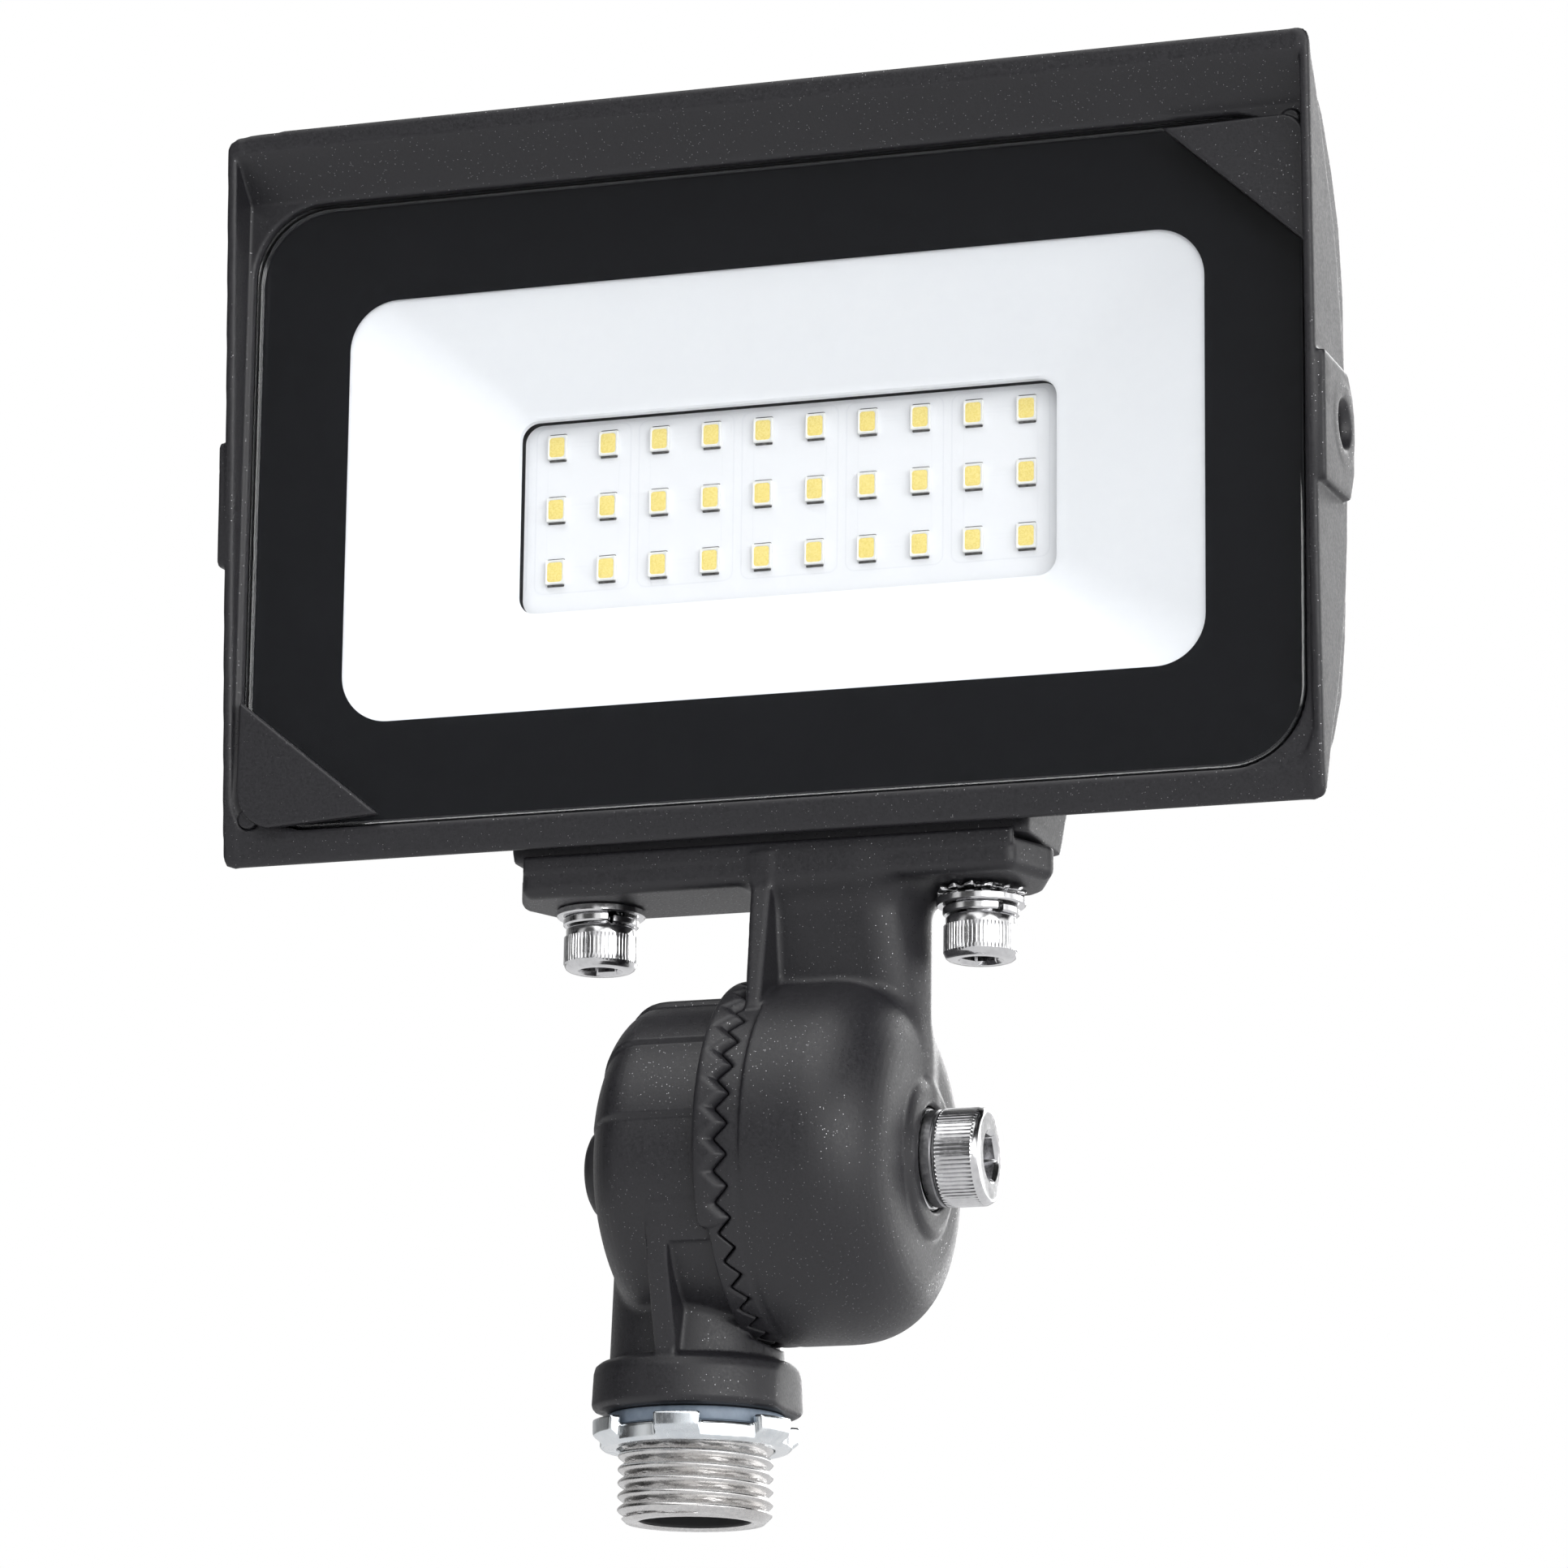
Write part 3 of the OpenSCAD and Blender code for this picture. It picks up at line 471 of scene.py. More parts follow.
def make_base():
    h = 0.29
    c = Casting((-12.6, -26, 13.7), (13.4, 26, 74.2), h)

    # the drum's surface steps in by a little at every 30 degrees, like laid shingles
    def shingle(y, z):
        a = np.degrees(np.arctan2(abs(y), z))
        u = ((a - 20.5) % 30) / 30
        d = 0.62 * (1 - u) ** 1.2 * smooth(u / 0.03)
        return np.where(a < 110.5, d, 0) * smooth((a - 4) / 8)
    drum = [(9.4, 0), (9.4, 23.0), (7.0, 23.2), (-2.5, 23.2)] + super_arc(-2.6, -10.9, 23.2, 5.2, 2.25)[1:] + [(-11.05, 8.4), (-11.7, 7.6), (-11.8, 7.0), (-11.8, 0)]
    c.add(turned(0, drum, 0, PZ, shingle))
    # arm
    c.add(turned(2, [(15, 0), (15, 11.9), (20, 11.85), (34, 11.4), (40, 11.3), (40, 0)]), 0.7)
    clear = (lambda x, y, z: np.maximum(np.sqrt(y ** 2 + (z - PZ) ** 2) - 24.95, 9.5 - x), np.array([9.5, -25.0, PZ - 25]), np.array([14, 25.0, PZ + 25]))
    c.cut(clear, 0.2)
    c.add(toothed(-1, 18.5, lambda a: 24.0 + 0.45 * smooth((a - 84) / 26), 2.2, 0.3))

    # flange over the upper part of the toothed ring
    ring = toothed(-1, 21.5, 25.2, 3.9, 1.35)

    def flange(x, y, z):
        f = round_max(ring[0](x, y, z), 7.15 - x, 1.2)
        a = math.radians(119.5)
        return round_max(f, abs(y) * math.cos(a) - (z - PZ) * math.sin(a), 1.6)
    c.add((flange, ring[1], ring[2]), 0.45)
    # shelf under the flange's end and the rib down to the collar
    c.add(prism(0, [(-15, 35.0), (-19.9, 35.2), (-20.9, 37.2), (-21.6, 40.2), (-15, 42)], 0.2, 8.4, 0.5), 0.7)
    c.add(prism(0, [(15, 35.0), (19.9, 35.2), (20.9, 37.2), (21.6, 40.2), (15, 42)], 0.2, 8.4, 0.5), 0.7)
    rib = prism(0, [(-8, 18), (-13.4, 18), (-13.7, 22), (-16.3, 27), (-19.2, 32.4), (-20.8, 37.0), (-21.3, 40.5), (-8, 40.5)], -3, 6)

    def leaning(x, y, z):
        return round_max(rib[0](x, y, z), abs(x - (0.1 + (z - 22) * 0.072)) - 1.5, 0.5)
    c.add((leaning, np.array([-2.5, -21.4, 18]), np.array([4, -8, 40.5])), 0.5)
    # collar
    c.add(turned(2, [(14.5, 0), (14.5, 13.5), (14.75, 14.1), (15.3, 14.42), (19.6, 14.12), (20.7, 13.75), (21.3, 13.0), (21.5, 12.3), (21.5, 0)]), 0.3)
    # rooms and holes
    room = less(turned(0, [(-7, 0), (-7, 15), (-5, 17.6), (-2.5, 18.4), (15, 18.4), (15, 0)], 0, PZ), rod(0, 0, PZ, -8, -0.5, 9.6), 0.5)
    c.cut(room, 0.3)
    c.cut(rod(2, 0, 0, 10, 32, 7.55), 0.2)
    c.cut(rod(0, 0, PZ, -20, 15, 4.5), 0.2)
    hexagon = [(7.62 * math.cos(math.radians(a)), PZ + 7.62 * math.sin(math.radians(a))) for a in range(0, 360, 60)]
    c.cut(prism(0, hexagon, -16, -2.5), 0.15)
    return cast("knuckle_base_casting", c)


def make_locknut():
    h = 0.2
    c = Casting((-15.2, -15.2, 9.0), (15.2, 15.2, 14.3), h)
    c.add(turned(2, [(9.75, 10.3), (9.75, 12.5), (10.15, 12.95), (12.0, 12.95), (12.4, 12.6), (12.4, 10.3)]))
    for i in range(6):
        a = math.radians(40 + 60 * i + (2.5, -1.5, 1, 3, -2, 0)[i])
        ca, sa = math.cos(a), math.sin(a)
        rise = (0.1, -0.15, 0.0, 0.12, -0.1, 0.05)[i]

        def lug(x, y, z, ca=ca, sa=sa, rise=rise):
            u, v = x * ca + y * sa, -x * sa + y * ca
            rad = np.sqrt(x * x + y * y)
            f = round_max(abs(v) - 3.0 - 0.08 * (z - 11), rad - 14.25, 0.35)
            f = round_max(f, 12.75 - rad, 0.0)
            f = round_max(f, z - (13.42 + rise * 0.4), 0.3)
            f = round_max(f, (10.0 + (rad - 12.6) * 0.75 - z) * 0.8, 0.3)
            return np.maximum(f, -u)
        reach = 14.3
        c.add((lug, np.array([-reach, -reach, 9.8]), np.array([reach, reach, 13.6])), 0.25)
    c.cut(rod(2, 0, 0, 5, 16, 10.6), 0.25)
    return cast("lock_ring", c, most=90000)


# ---------------------------------------------------------------- housing
END = [(-1.4, -50.5), (-2.3, -44), (-3.9, -20), (-4.9, 0), (-6.2, 24), (-7.5, 48), (-7.9, 54.8), (-6.9, 54.8), (-6.0, 52.2),
       (-5.5, 50.9), (-3.4, 48.2), (0, 42.4), (3, 36.5), (6.4, 30.6), (8.4, 24.4), (10, 18), (11.6, 11.6), (12.8, 5.1), (13.1, 1.7),
       (12.8, -5.2), (12.4, -12), (11.4, -19.1), (9.3, -26.4), (6.8, -33.7), (3, -41.2), (-0.6, -50.5)]
BODY = [(-1.4, -50.5), (-2.3, -44), (-3.9, -20), (-4.9, 0), (-6.2, 24), (-7.5, 48), (-7.9, 54.8), (-6.4, 54.8),
        (-3.5, 53), (0, 50.5), (5.5, 46.6), (10.6, 40), (14.4, 33), (16.4, 24), (17, 10), (17, -12), (16.2, -24), (13.8, -33),
        (9.3, -40), (4, -45.3), (-0.6, -50.5)]
FIN = [(0, 49.5), (7, 47.5), (14, 41), (19.5, 31), (22.6, 18), (23.8, 4), (23.4, -10), (21, -24), (15.5, -35), (8.5, -41.5), (2, -45)]
CLIPS = [(74.6, 43.5), (-74.6, -43.6)]


def make_housing():
    h = 0.42
    c = Casting((-81, -9.4, -52.8), (81, 31.6, 56.2), h)
    outline = slab(-78.8, -50.5, 78.8, 54.8, -12, 20, 2.0)
    c.add(both(prism(0, BODY, -77.2, 77.2, 0.3), outline, 0.9))
    for s in (-1, 1):
        a, b = sorted((s * 76.4, s * 78.8))
        c.add(both(prism(0, END, a, b, 0.45), outline, 0.9), 0.35)
        # side boss
        a, b = sorted((s * 77.0, s * 79.7))
        boss = [(-4.4, -7.6), (-4.9, 10.4), (8.6, 10.6), (11.6, 7.4), (12.1, 2), (11.9, -3), (9.8, -7.0)]
        c.add(prism(0, boss, a, b, 0.35, 0.8), 0.3)
        c.add(rod(0, 6.3, 2.9, min(s * 68, s * 79.5), max(s * 68, s * 79.5), 5.5), 0.6)
    # the visor's left end falls away a little, as in the photograph
    def fall(x, y, z):
        t = np.clip((-72.0 - x) / 6.9, 0, 1)
        return (54.8 - 2.1 * (1 - np.sqrt(1 - t * t)) - z) * 0.85
    c.cut((lambda x, y, z: np.maximum(fall(x, y, z), x + 71.0), np.array([-81.0, -9.4, 52.0]), np.array([-71.0, 10.0, 56.2])), 0.9)
    # pad, wider towards the housing
    def pad(x, y, z):
        grow = np.maximum(z + 51.4, 0) * 0.13
        d = round_max(abs(x) - 36.8 - grow, np.maximum(1.75 - y, y - 18.2 - grow), 1.0)
        return np.maximum(round_max(d, -51.4 - z, 0.35), z + 34)
    c.add((pad, np.array([-39.5, 1.5, -51.4]), np.array([39.5, 21, -34])), 0.8)
    # rear compartment and fins
    c.add(slab(-61, -39, 61, 25, 10, 30, 4, 0.5), 1.2)
    for i in range(-5, 6):
        x = i * 13.72
        c.add(both(prism(0, FIN, x - 1, x + 1, 0.7), box((x - 3, -2, 24), (x + 3, 40, 60)), 0.4), 0.9)
    for s in (-1, 1):
        for x in (65, 73.05):
            c.add(prism(0, FIN, s * x - 1, s * x + 1, 0.7), 0.9)
    for x, z in CLIPS:
        c.add(rod(1, x, z, 0, 7.5, 2.2))
    # recess before the glass, deeper under the top edge
    recess = both(prism(0, [(-14, -45.9), (-14, 51.2), (-7.4, 51.2), (-2.1, 45.7), (-2.1, -45.9)], -77.1, 77.1),
                  slab(-77.1, -45.9, 77.1, 60, -15, 5, 5.6))
    c.cut(recess, 0.62)
    c.cut(slab(-76.25, -45.6, 76.25, 45.2, -4, 1.8, 10.6), 0.15)
    # chamber behind the glass, rear compartment
    c.cut(slab(-69, -38, 69, 38, 1, 7, 4), 0.3)
    c.cut(slab(-66, -30.5, 66, 30.5, 6, 12.5, 4), 0.3)
    c.cut(slab(-58, -36, 58, 22, 15.5, 40, 3), 0.4)
    c.cut(rod(2, 7.9, 11.7, -60, -34, 4), 0.2)
    c.cut(box((3.9, 8, -38), (11.9, 20, -33)), 0.2)
    c.cut(rod(1, 57, -12, 10, 20, 2.5), 0.2)
    for s in (-1, 1):
        c.cut(rod(2, s * 27.35, 11.7, -60, -37.4, 3.05), 0.2)
        c.cut(rod(0, 6.3, 2.9, min(s * 69.7, s * 82), max(s * 69.7, s * 82), 2.75), 0.3)
        c.cut(turned(0, [(s * 78.6, 0), (s * 78.6, 2.7), (s * 80.6, 4.4), (s * 80.6, 0)], 6.3, 2.9), 0.1)
    for x, z in CLIPS:
        c.cut(rod(1, x, z, -1.9, 4.2, 1.55))
        c.cut(rod(1, x, z, 3, 12, 1.1))
        c.cut(rod(1, x, z, 7.5, 20, 2.1))
    for x in (-57, 0, 57):
        for z in (-21.8, 21.8):
            c.cut(rod(1, x, z, 10, 15.1, 1.55))
    for x in (-57.8, 57.8):
        for z in (-35.8, 21.8):
            c.cut(rod(1, x, z, 18, 32, 1.55))
    for x in (-46, 46):
        for z in (-30, 14):
            c.cut(rod(1, x, z, 13.2, 17, 1.3))
    return cast("housing_casting", c, HEAD, 190000)


def make_cover():
    h = 0.36
    c = Casting((-62.4, 29.4, -40.4), (62.4, 38.6, 26.4), h)
    c.add(slab(-61, -39, 61, 25, 30.6, 33.2, 4, 0.5))
    for i in range(-6, 7):
        x = i * 8.05
        c.add(box((x - 1, 31.5, -34), (x + 1, 37.2, 20), 0.8), 0.8)
    for x in (-57.8, 57.8):
        for z in (-35.8, 21.8):
            c.cut(rod(1, x, z, 28, 40, 1.7), 0.2)
    return cast("rear_cover_casting", c, HEAD, 120000)


def make_clips():
    h = 0.24
    made = []
    for k, (name, pts, corner, far) in enumerate((
            ("corner_clip_right", [(57.0, 43.75), (76.75, 44.2), (76.75, 26.0)], (76.75 - 4.2, 44.2 - 3.6), 1),
            ("corner_clip_left", [(-55.0, -44.25), (-76.2, -45.55), (-76.0, -27.0)], None, -1))):
        xs, zs = [p[0] for p in pts], [p[1] for p in pts]
        c = Casting((min(xs) - 1, -4.6, min(zs) - 1), (max(xs) + 1, 5.2, max(zs) + 1), h)
        plane = lambda x, z, pts=pts: poly2(x, z, pts)
        r = 3.4 if k == 0 else 6.0
        cx, cz = (76.75 - r, 44.15 - r) if k == 0 else (-76.15 + r, -45.4 + r)

        def f(x, y, z, plane=plane, r=r, cx=cx, cz=cz, far=far):
            flat = plane(x, z)
            # the outer corner follows the housing's rounded corner
            px, pz = far * (x - cx), far * (z - cz)
            quarter = np.where((px > 0) & (pz > 0), np.sqrt(np.maximum(px, 0) ** 2 + np.maximum(pz, 0) ** 2) - r, -9)
            flat = np.maximum(flat, quarter)
            return round_max(round_max(flat, -3.35 - y, 0.3), y + 2.0, 0)
        c.add((f, np.array([min(xs), -3.35, min(zs)]), np.array([max(xs), -2.0, max(zs)])))
        x, z = CLIPS[k]
        c.add(rod(1, x, z, -2.6, 4.1, 1.45, 0.2), 0.2)
        c.cut(rod(1, x, z, 0.8, 6, 0.95), 0.1)
        made.append(cast(name, c, HEAD, 40000))
    return made


# ================================================================ turned and lofted pieces
def loft(name, loops, ring=False, shift=(0, 0, 0), axis=None):
    """A closed piece from loops with equal numbers of points. ring joins the last loop to the first;
    otherwise both ends are closed with a fan."""
    n = len(loops[0])
    pts = np.concatenate([np.asarray(l, float) for l in loops])
    m = len(loops)
    k = np.arange(n)
    quads = []
    for i in range(m if ring else m - 1):
        a, b = i * n, ((i + 1) % m) * n
        quads.append(np.stack([a + k, a + (k + 1) % n, b + (k + 1) % n, b + k], 1))
    quads = np.concatenate(quads)
    me = bpy.data.meshes.new(name)
    bm = bmesh.new()
    vs = [bm.verts.new(p) for p in (pts + np.array(shift)) / 1000]
    for q in quads:
        bm.faces.new([vs[i] for i in q])
    if not ring:
        for start in (0, (m - 1) * n):
            mid = bm.verts.new((pts[start:start + n].mean(0) + np.array(shift)) / 1000)
            for i in range(n):
                bm.faces.new([vs[start + i], vs[start + (i + 1) % n], mid])
    bmesh.ops.recalc_face_normals(bm, faces=bm.faces)
    for f in bm.faces:
        f.smooth = True
    bm.to_mesh(me)
    bm.free()
    ob = bpy.data.objects.new(name, me)
    scene.collection.objects.link(ob)
    return ob


def merge(name, obs):
    """Several objects become one mesh."""
    bm = bmesh.new()
    for o in obs:
        bm.from_mesh(o.data)
    me = bpy.data.meshes.new(name)
    bm.to_mesh(me)
    bm.free()
    for o in obs:
        old = o.data
        bpy.data.objects.remove(o)
        bpy.data.meshes.remove(old)
    ob = bpy.data.objects.new(name, me)
    scene.collection.objects.link(ob)
    return ob


def crisp(ob, angle=35):
    """Edges sharper than the angle stay sharp in the shading."""
    bm = bmesh.new()
    bm.from_mesh(ob.data)
    for e in bm.edges:
        e.smooth = not (len(e.link_faces) == 2 and e.calc_face_angle(0) > math.radians(angle))
    bm.to_mesh(ob.data)
    bm.free()
    return ob


AXES = {0: ((0, 1, 0), (0, 0, 1), (1, 0, 0)), 1: ((0, 0, 1), (1, 0, 0), (0, 1, 0)), 2: ((1, 0, 0), (0, 1, 0), (0, 0, 1))}


def turn(name, rows, axis, centre, n=96, ring=False, sharp=35):
    """Turned piece from rows of (place along the axis, radius); a radius or a place may be a list round the circle."""
    u, v, w = (np.array(a, float) for a in AXES[axis])
    t = np.arange(n) * 2 * np.pi / n
    loops = []
    for a, r in rows:
        a, r = np.broadcast_to(np.asarray(a, float), n), np.broadcast_to(np.asarray(r, float), n)
        loops.append(np.array(centre, float) + np.outer(r * np.cos(t), u) + np.outer(r * np.sin(t), v) + np.outer(a, w))
    return crisp(loft(name, loops, ring), sharp)


def hexring(n, across, start=0):
    t = np.arange(n) * 360 / n + start
    return across / 2 / np.cos(np.radians((t % 60) - 30))


def knurl(n, teeth, depth, wide=0.42):
    t = (np.arange(n) * teeth / n) % 1
    return -depth * np.clip(1 - abs(t - 0.5) * 2 / wide, 0, 1) ** 0.8


def socket_screw(name, axis, centre, sign, rad, height, teeth, across, deep, shank, length, pitch, point=0.6, plain=0.5):
    """Knurled socket-head screw, plain next to its bearing face, which is at the centre; sign is the way its end faces."""
    n = teeth * 8
    kn = knurl(n, teeth, rad * 0.034)
    top = sign * height
    s = sign
    dip = 0.3 if plain > 0.6 else 0.03
    rows = [(s * 0.0, rad - 0.3 - dip), (s * 0.12, rad - 0.1 - dip), (s * 0.3, rad - dip), (s * (plain - 0.08), rad - dip), (s * plain, rad + kn * 0.5), (s * (plain + 0.12), rad + kn)]
    rows += [(s * (plain + 0.12 + (height - plain - 1.22) * k / 4), rad + kn) for k in range(1, 5)]
    rows += [(top - s * 0.98, rad + kn * 0.4), (top - s * 0.9, rad - 0.08), (top - s * 0.62, rad - 0.16), (top - s * 0.3, rad - 0.34), (top - s * 0.1, rad - 0.62),
             (top, rad - 0.95)]
    hexa = hexring(n, across)
    rim = across / 2 / math.cos(math.radians(30)) + 0.12
    rows += [(top, rim + 0.1), (top - s * 0.08, rim), (top - s * 0.5, hexa * 1.0), (top - s * deep, hexa), (top - s * (deep + 0.02), hexa * 0.96),
             (top - s * (deep + across * 0.2), hexa * 0.06)]
    head = turn(name + "_head", [(0, shank * 0.5)] + rows, axis, centre, n, sharp=30)
    # threaded shank
    n2 = 48
    t = np.arange(n2) / n2
    count = max(int(length / (pitch / 6)), 4)
    body = [(-s * -0.3, shank)]
    for k in range(count + 1):
        a = length * k / count
        tri = abs(((a / pitch - t) % 1) - 0.5) * 2
        fade = min(1, a / 2.0) * 1.0
        end = max(0, a - (length - point))
        body.append((-s * a, shank - fade * 0.6134 * pitch * 0.8 * tri - end))
    shaft = turn(name + "_shank", body, axis, centre, n2)
    return merge(name, [head, shaft])


def washer(name, axis, centre, a0, a1, r0, r1, edge=0.15, n=96):
    rows = [(a0, r0 + edge), (a0, r1 - edge), (a0 + edge, r1), (a1 - edge, r1), (a1, r1 - edge), (a1, r0 + edge), (a1 - edge, r0), (a0 + edge, r0)]
    return turn(name, rows, axis, centre, n, ring=True)


def spring_washer(name, axis, centre, a0, a1, r0, r1, start, gap=9, lift=0.25):
    """Split ring whose ends stand apart a little."""
    u, v, w = (np.array(a, float) for a in AXES[axis])
    steps = 80
    e = 0.22
    mid = (a0 + a1) / 2
    hh = (a1 - a0) / 2 - lift / 2
    loops = []
    for k in range(steps + 1):
        f = k / steps
        t = math.radians(start + gap / 2 + (360 - gap) * f)
        d = math.cos(t) * u + math.sin(t) * v
        c = mid + lift * (f - 0.5)
        sec = [(-hh, r0 + e), (-hh, r1 - e), (-hh + e, r1), (hh - e, r1), (hh, r1 - e), (hh, r0 + e), (hh - e, r0), (-hh + e, r0)]
        loops.append([np.array(centre, float) + r * d + (c + a) * w for a, r in sec])
    return crisp(loft(name, loops), 35)


def round_rect(x0, z0, x1, z1, r, n=8):
    out = []
    for cx, cz, a0 in ((x1 - r, z1 - r, 0), (x0 + r, z1 - r, 90), (x0 + r, z0 + r, 180), (x1 - r, z0 + r, 270)):
        for k in range(n + 1):
            a = math.radians(a0 + 90 * k / n)
            out.append((cx + r * math.cos(a), cz + r * math.sin(a)))
    return out


def plate_loops(x0, z0, x1, z1, r, steps, n=8):
    """Loops of a rounded rectangle in the head's frame, from steps of (inset, y)."""
    return [[(px, y, pz) for px, pz in round_rect(x0 + d, z0 + d, x1 - d, z1 - d, max(r - d, 0.05), n)] for d, y in steps]


# ---------------------------------------------------------------- glass and light source
def make_glass():
    e = 0.35
    steps = [(e, -2), (e * 0.3, -2 + e * 0.3), (0, -2 + e), (0, 0.88 - e), (e * 0.3, 0.88 - e * 0.3), (e, 0.88)]
    pane = crisp(loft("glass_pane", plate_loops(-76, -45.3, 76, 44.9, 10.5, steps, 14), shift=HEAD), 12)
    # black print on the back of the pane, open at the window
    outer = round_rect(-75.95, -45.25, 75.95, 44.85, 10.45, 14)
    inner = round_rect(-62.03, -30.48, 62.03, 30.48, 7.0, 14)
    loops = [[(x, y, z) for x, z in l] for l, y in ((outer, 0.93), (outer, 0.985), (inner, 0.985), (inner, 0.93))]
    return pane, crisp(loft("glass_print", loops, ring=True, shift=HEAD), 40)


def make_reflector():
    n = 10

    def rr(x, z0, z1, r, y):
        return [(px, y, pz) for px, pz in round_rect(-x, z0, x, z1, r, n)]
    loops = [
        rr(62.4, -30.9, 30.9, 7.2, 1.15), rr(61.9, -30.4, 30.4, 6.9, 1.35),
        rr(41.2, -15.9, 14.7, 3.6, 7.9), rr(40.2, -15.3, 14.0, 3.2, 8.2), rr(39.6, -14.95, 13.6, 2.9, 8.25), rr(39.15, -14.6, 13.3, 2.7, 8.5),
        rr(39.1, -14.5, 13.25, 2.6, 9.4), rr(39.3, -14.7, 13.5, 2.7, 9.6), rr(40.8, -16.2, 15.0, 3.6, 9.6),
        rr(42.4, -17.2, 16.0, 4.2, 8.9), rr(64.0, -32.2, 32.2, 8.2, 2.4), rr(68.0, -37.0, 37.0, 6.4, 2.2), rr(68.5, -37.5, 37.5, 6.4, 2.0),
        rr(68.5, -37.5, 37.5, 6.4, 1.3), rr(68.2, -37.2, 37.2, 6.2, 1.1), rr(63.0, -31.5, 31.5, 7.5, 1.1),
    ]
    return crisp(loft("reflector_frame", loops, ring=True, shift=HEAD), 30)


LED = [((i - 4.5) * 7.615, 0.77 + (j - 1) * 9.05) for i in range(10) for j in range(3)]


def make_leds():
    bodies, fills, solder_shade_strips = [], [], []
    for x, z in LED:
        def rr(a, b, r, y, dx=0):
            return [(px, y, pz) for px, pz in round_rect(x - a, z - b, x + a, z + b, r, 3)]
        bodies.append(loft("b", [rr(1.36, 1.71, 0.1, 10.88), rr(1.4, 1.75, 0.12, 10.8), rr(1.4, 1.75, 0.12, 10.28), rr(1.34, 1.69, 0.12, 10.2),
                                 rr(1.2, 1.5, 0.45, 10.2), rr(1.12, 1.42, 0.4, 10.26), rr(1.0, 1.3, 0.35, 10.52)], shift=HEAD))
        fills.append(loft("f", [rr(1.02, 1.32, 0.36, 10.5), rr(1.11, 1.41, 0.4, 10.29), rr(0.95, 1.25, 0.38, 10.26), rr(0.5, 0.8, 0.3, 10.235), rr(0.1, 0.3, 0.08, 10.23)], shift=HEAD))
        # solder strips at both ends of each package, coloured dark as painted shade for the thin shadow line under the
        # package
        for s in (-1, 1):
            zc = z + s * 1.72

            def jr(a, b, y):
                return [(px, y, pz) for px, pz in round_rect(x - a, zc - b, x + a, zc + b, 0.1, 2)]
            solder_shade_strips.append(loft("j", [jr(1.25, 0.3, 10.895), jr(1.22, 0.28, 10.72), jr(1.1, 0.18, 10.6)], shift=HEAD))
    b = crisp(merge("led_bodies", bodies), 40)
    f = crisp(merge("led_fills", fills), 40)
    j = crisp(merge("led_solder_painted_shade", solder_shade_strips), 60)
    return b, f, j


def make_board():
    """The white board: a plate with its screw holes and the leads' slot left to the casting behind it."""
    c = Casting((-63, 9.6, -27), (63, 13.6, 27), 0.32)
    c.add(slab(-62, -26, 62, 26, 10.9, 12.5, 3, 0.15))
    for x in (-57, 0, 57):
        for z in (-21.8, 21.8):
            c.cut(rod(1, x, z, 10, 13.4, 1.7), 0.1)
    c.cut(rod(1, 57, -12, 10, 13.4, 2.5), 0.1)
    return cast("led_board_plate", c, HEAD, 24000)


# ---------------------------------------------------------------- fittings
def m6_place(s):
    return HEAD + np.array([s * 27.35, 11.7, -59.1 - (1.5 if s > 0 else 0)])


def make_m6():
    screws, springs, flats = [], [], []
    for s in (-1, 1):
        c = m6_place(s)
        tag = "right" if s > 0 else "left"
        screws.append(socket_screw("m6_screw_" + tag, 2, c, -1, 5.08, 6.0, 60, 5.0, 3.1, 2.95, 20.0 - (0 if s > 0 else 1.5), 1.0, 0.6, 1.35))
        springs.append(spring_washer("m6_spring_washer_" + tag, 2, c, 0.0, 1.4, 3.2, 5.2, 318 if s > 0 else 305))
        flats.append(washer("m6_flat_washer_" + tag, 2, c, 1.42, 2.55, 3.2, 6.1, 0.2))
    return screws, springs, flats


def make_star_washer():
    """Lock washer with twisted teeth, crushed under the bolt."""
    c = m6_place(1)
    n = 360
    t = np.arange(n) * 2 * np.pi / n
    teeth = 14
    saw = (t * teeth / (2 * np.pi)) % 1
    tooth = smooth((0.5 - abs(saw - 0.5)) / 0.22 - 0.35)
    wob = 0.16 * np.sin(3 * t + 0.7) + 0.12 * np.sin(5 * t + 2.1)
    twist = (saw - 0.5) * tooth * 1.0
    r_out = 5.0 + 1.15 * tooth + 0.35 * wob
    mid = 3.33 + 0.5 * wob * tooth
    rows = [(mid - 0.3, 3.4), (mid - 0.32, 4.7), (mid - 0.28 + twist * 0.5, r_out - 0.25), (mid - 0.1 + twist, r_out), (mid + 0.15 + twist, r_out),
            (mid + 0.32 + twist * 0.6, r_out - 0.2), (mid + 0.34, 4.7), (mid + 0.32, 3.4)]
    rows = [(np.clip(a, 2.6, 4.08), r) for a, r in rows]
    return turn("star_lock_washer", rows, 2, c, n, ring=True, sharp=40)


def make_clamp():
    c = np.array([0, 0, PZ])
    bolt = socket_screw("clamp_screw", 0, c + np.array([34.9, 0, 0]), 1, 6.68, 6.4, 70, 6.0, 3.9, 3.95, 45.0, 1.25, 0.9)
    flat = washer("clamp_flat_washer", 0, c, 31.55, 33.1, 4.2, 6.95, 0.2)
    spring = spring_washer("clamp_spring_washer", 0, c, 33.1, 34.9, 4.15, 6.55, 60, 7, 0.2)
    return bolt, flat, spring


def make_plug():
    rows = [(-15.42, 0.4), (-15.4, 2.2), (-15.25, 3.8), (-14.95, 4.9), (-14.45, 5.75), (-13.7, 6.25), (-12.9, 6.42), (-12.0, 6.46), (-11.82, 6.4), (-11.8, 6.2),
            (-9.3, 6.18), (-9.1, 6.0), (-9.1, 5.3), (-9.3, 5.15), (-11.5, 5.1), (-11.55, 0.4)]
    return turn("socket_plug", rows, 0, (0, 0, PZ), 96, sharp=50)


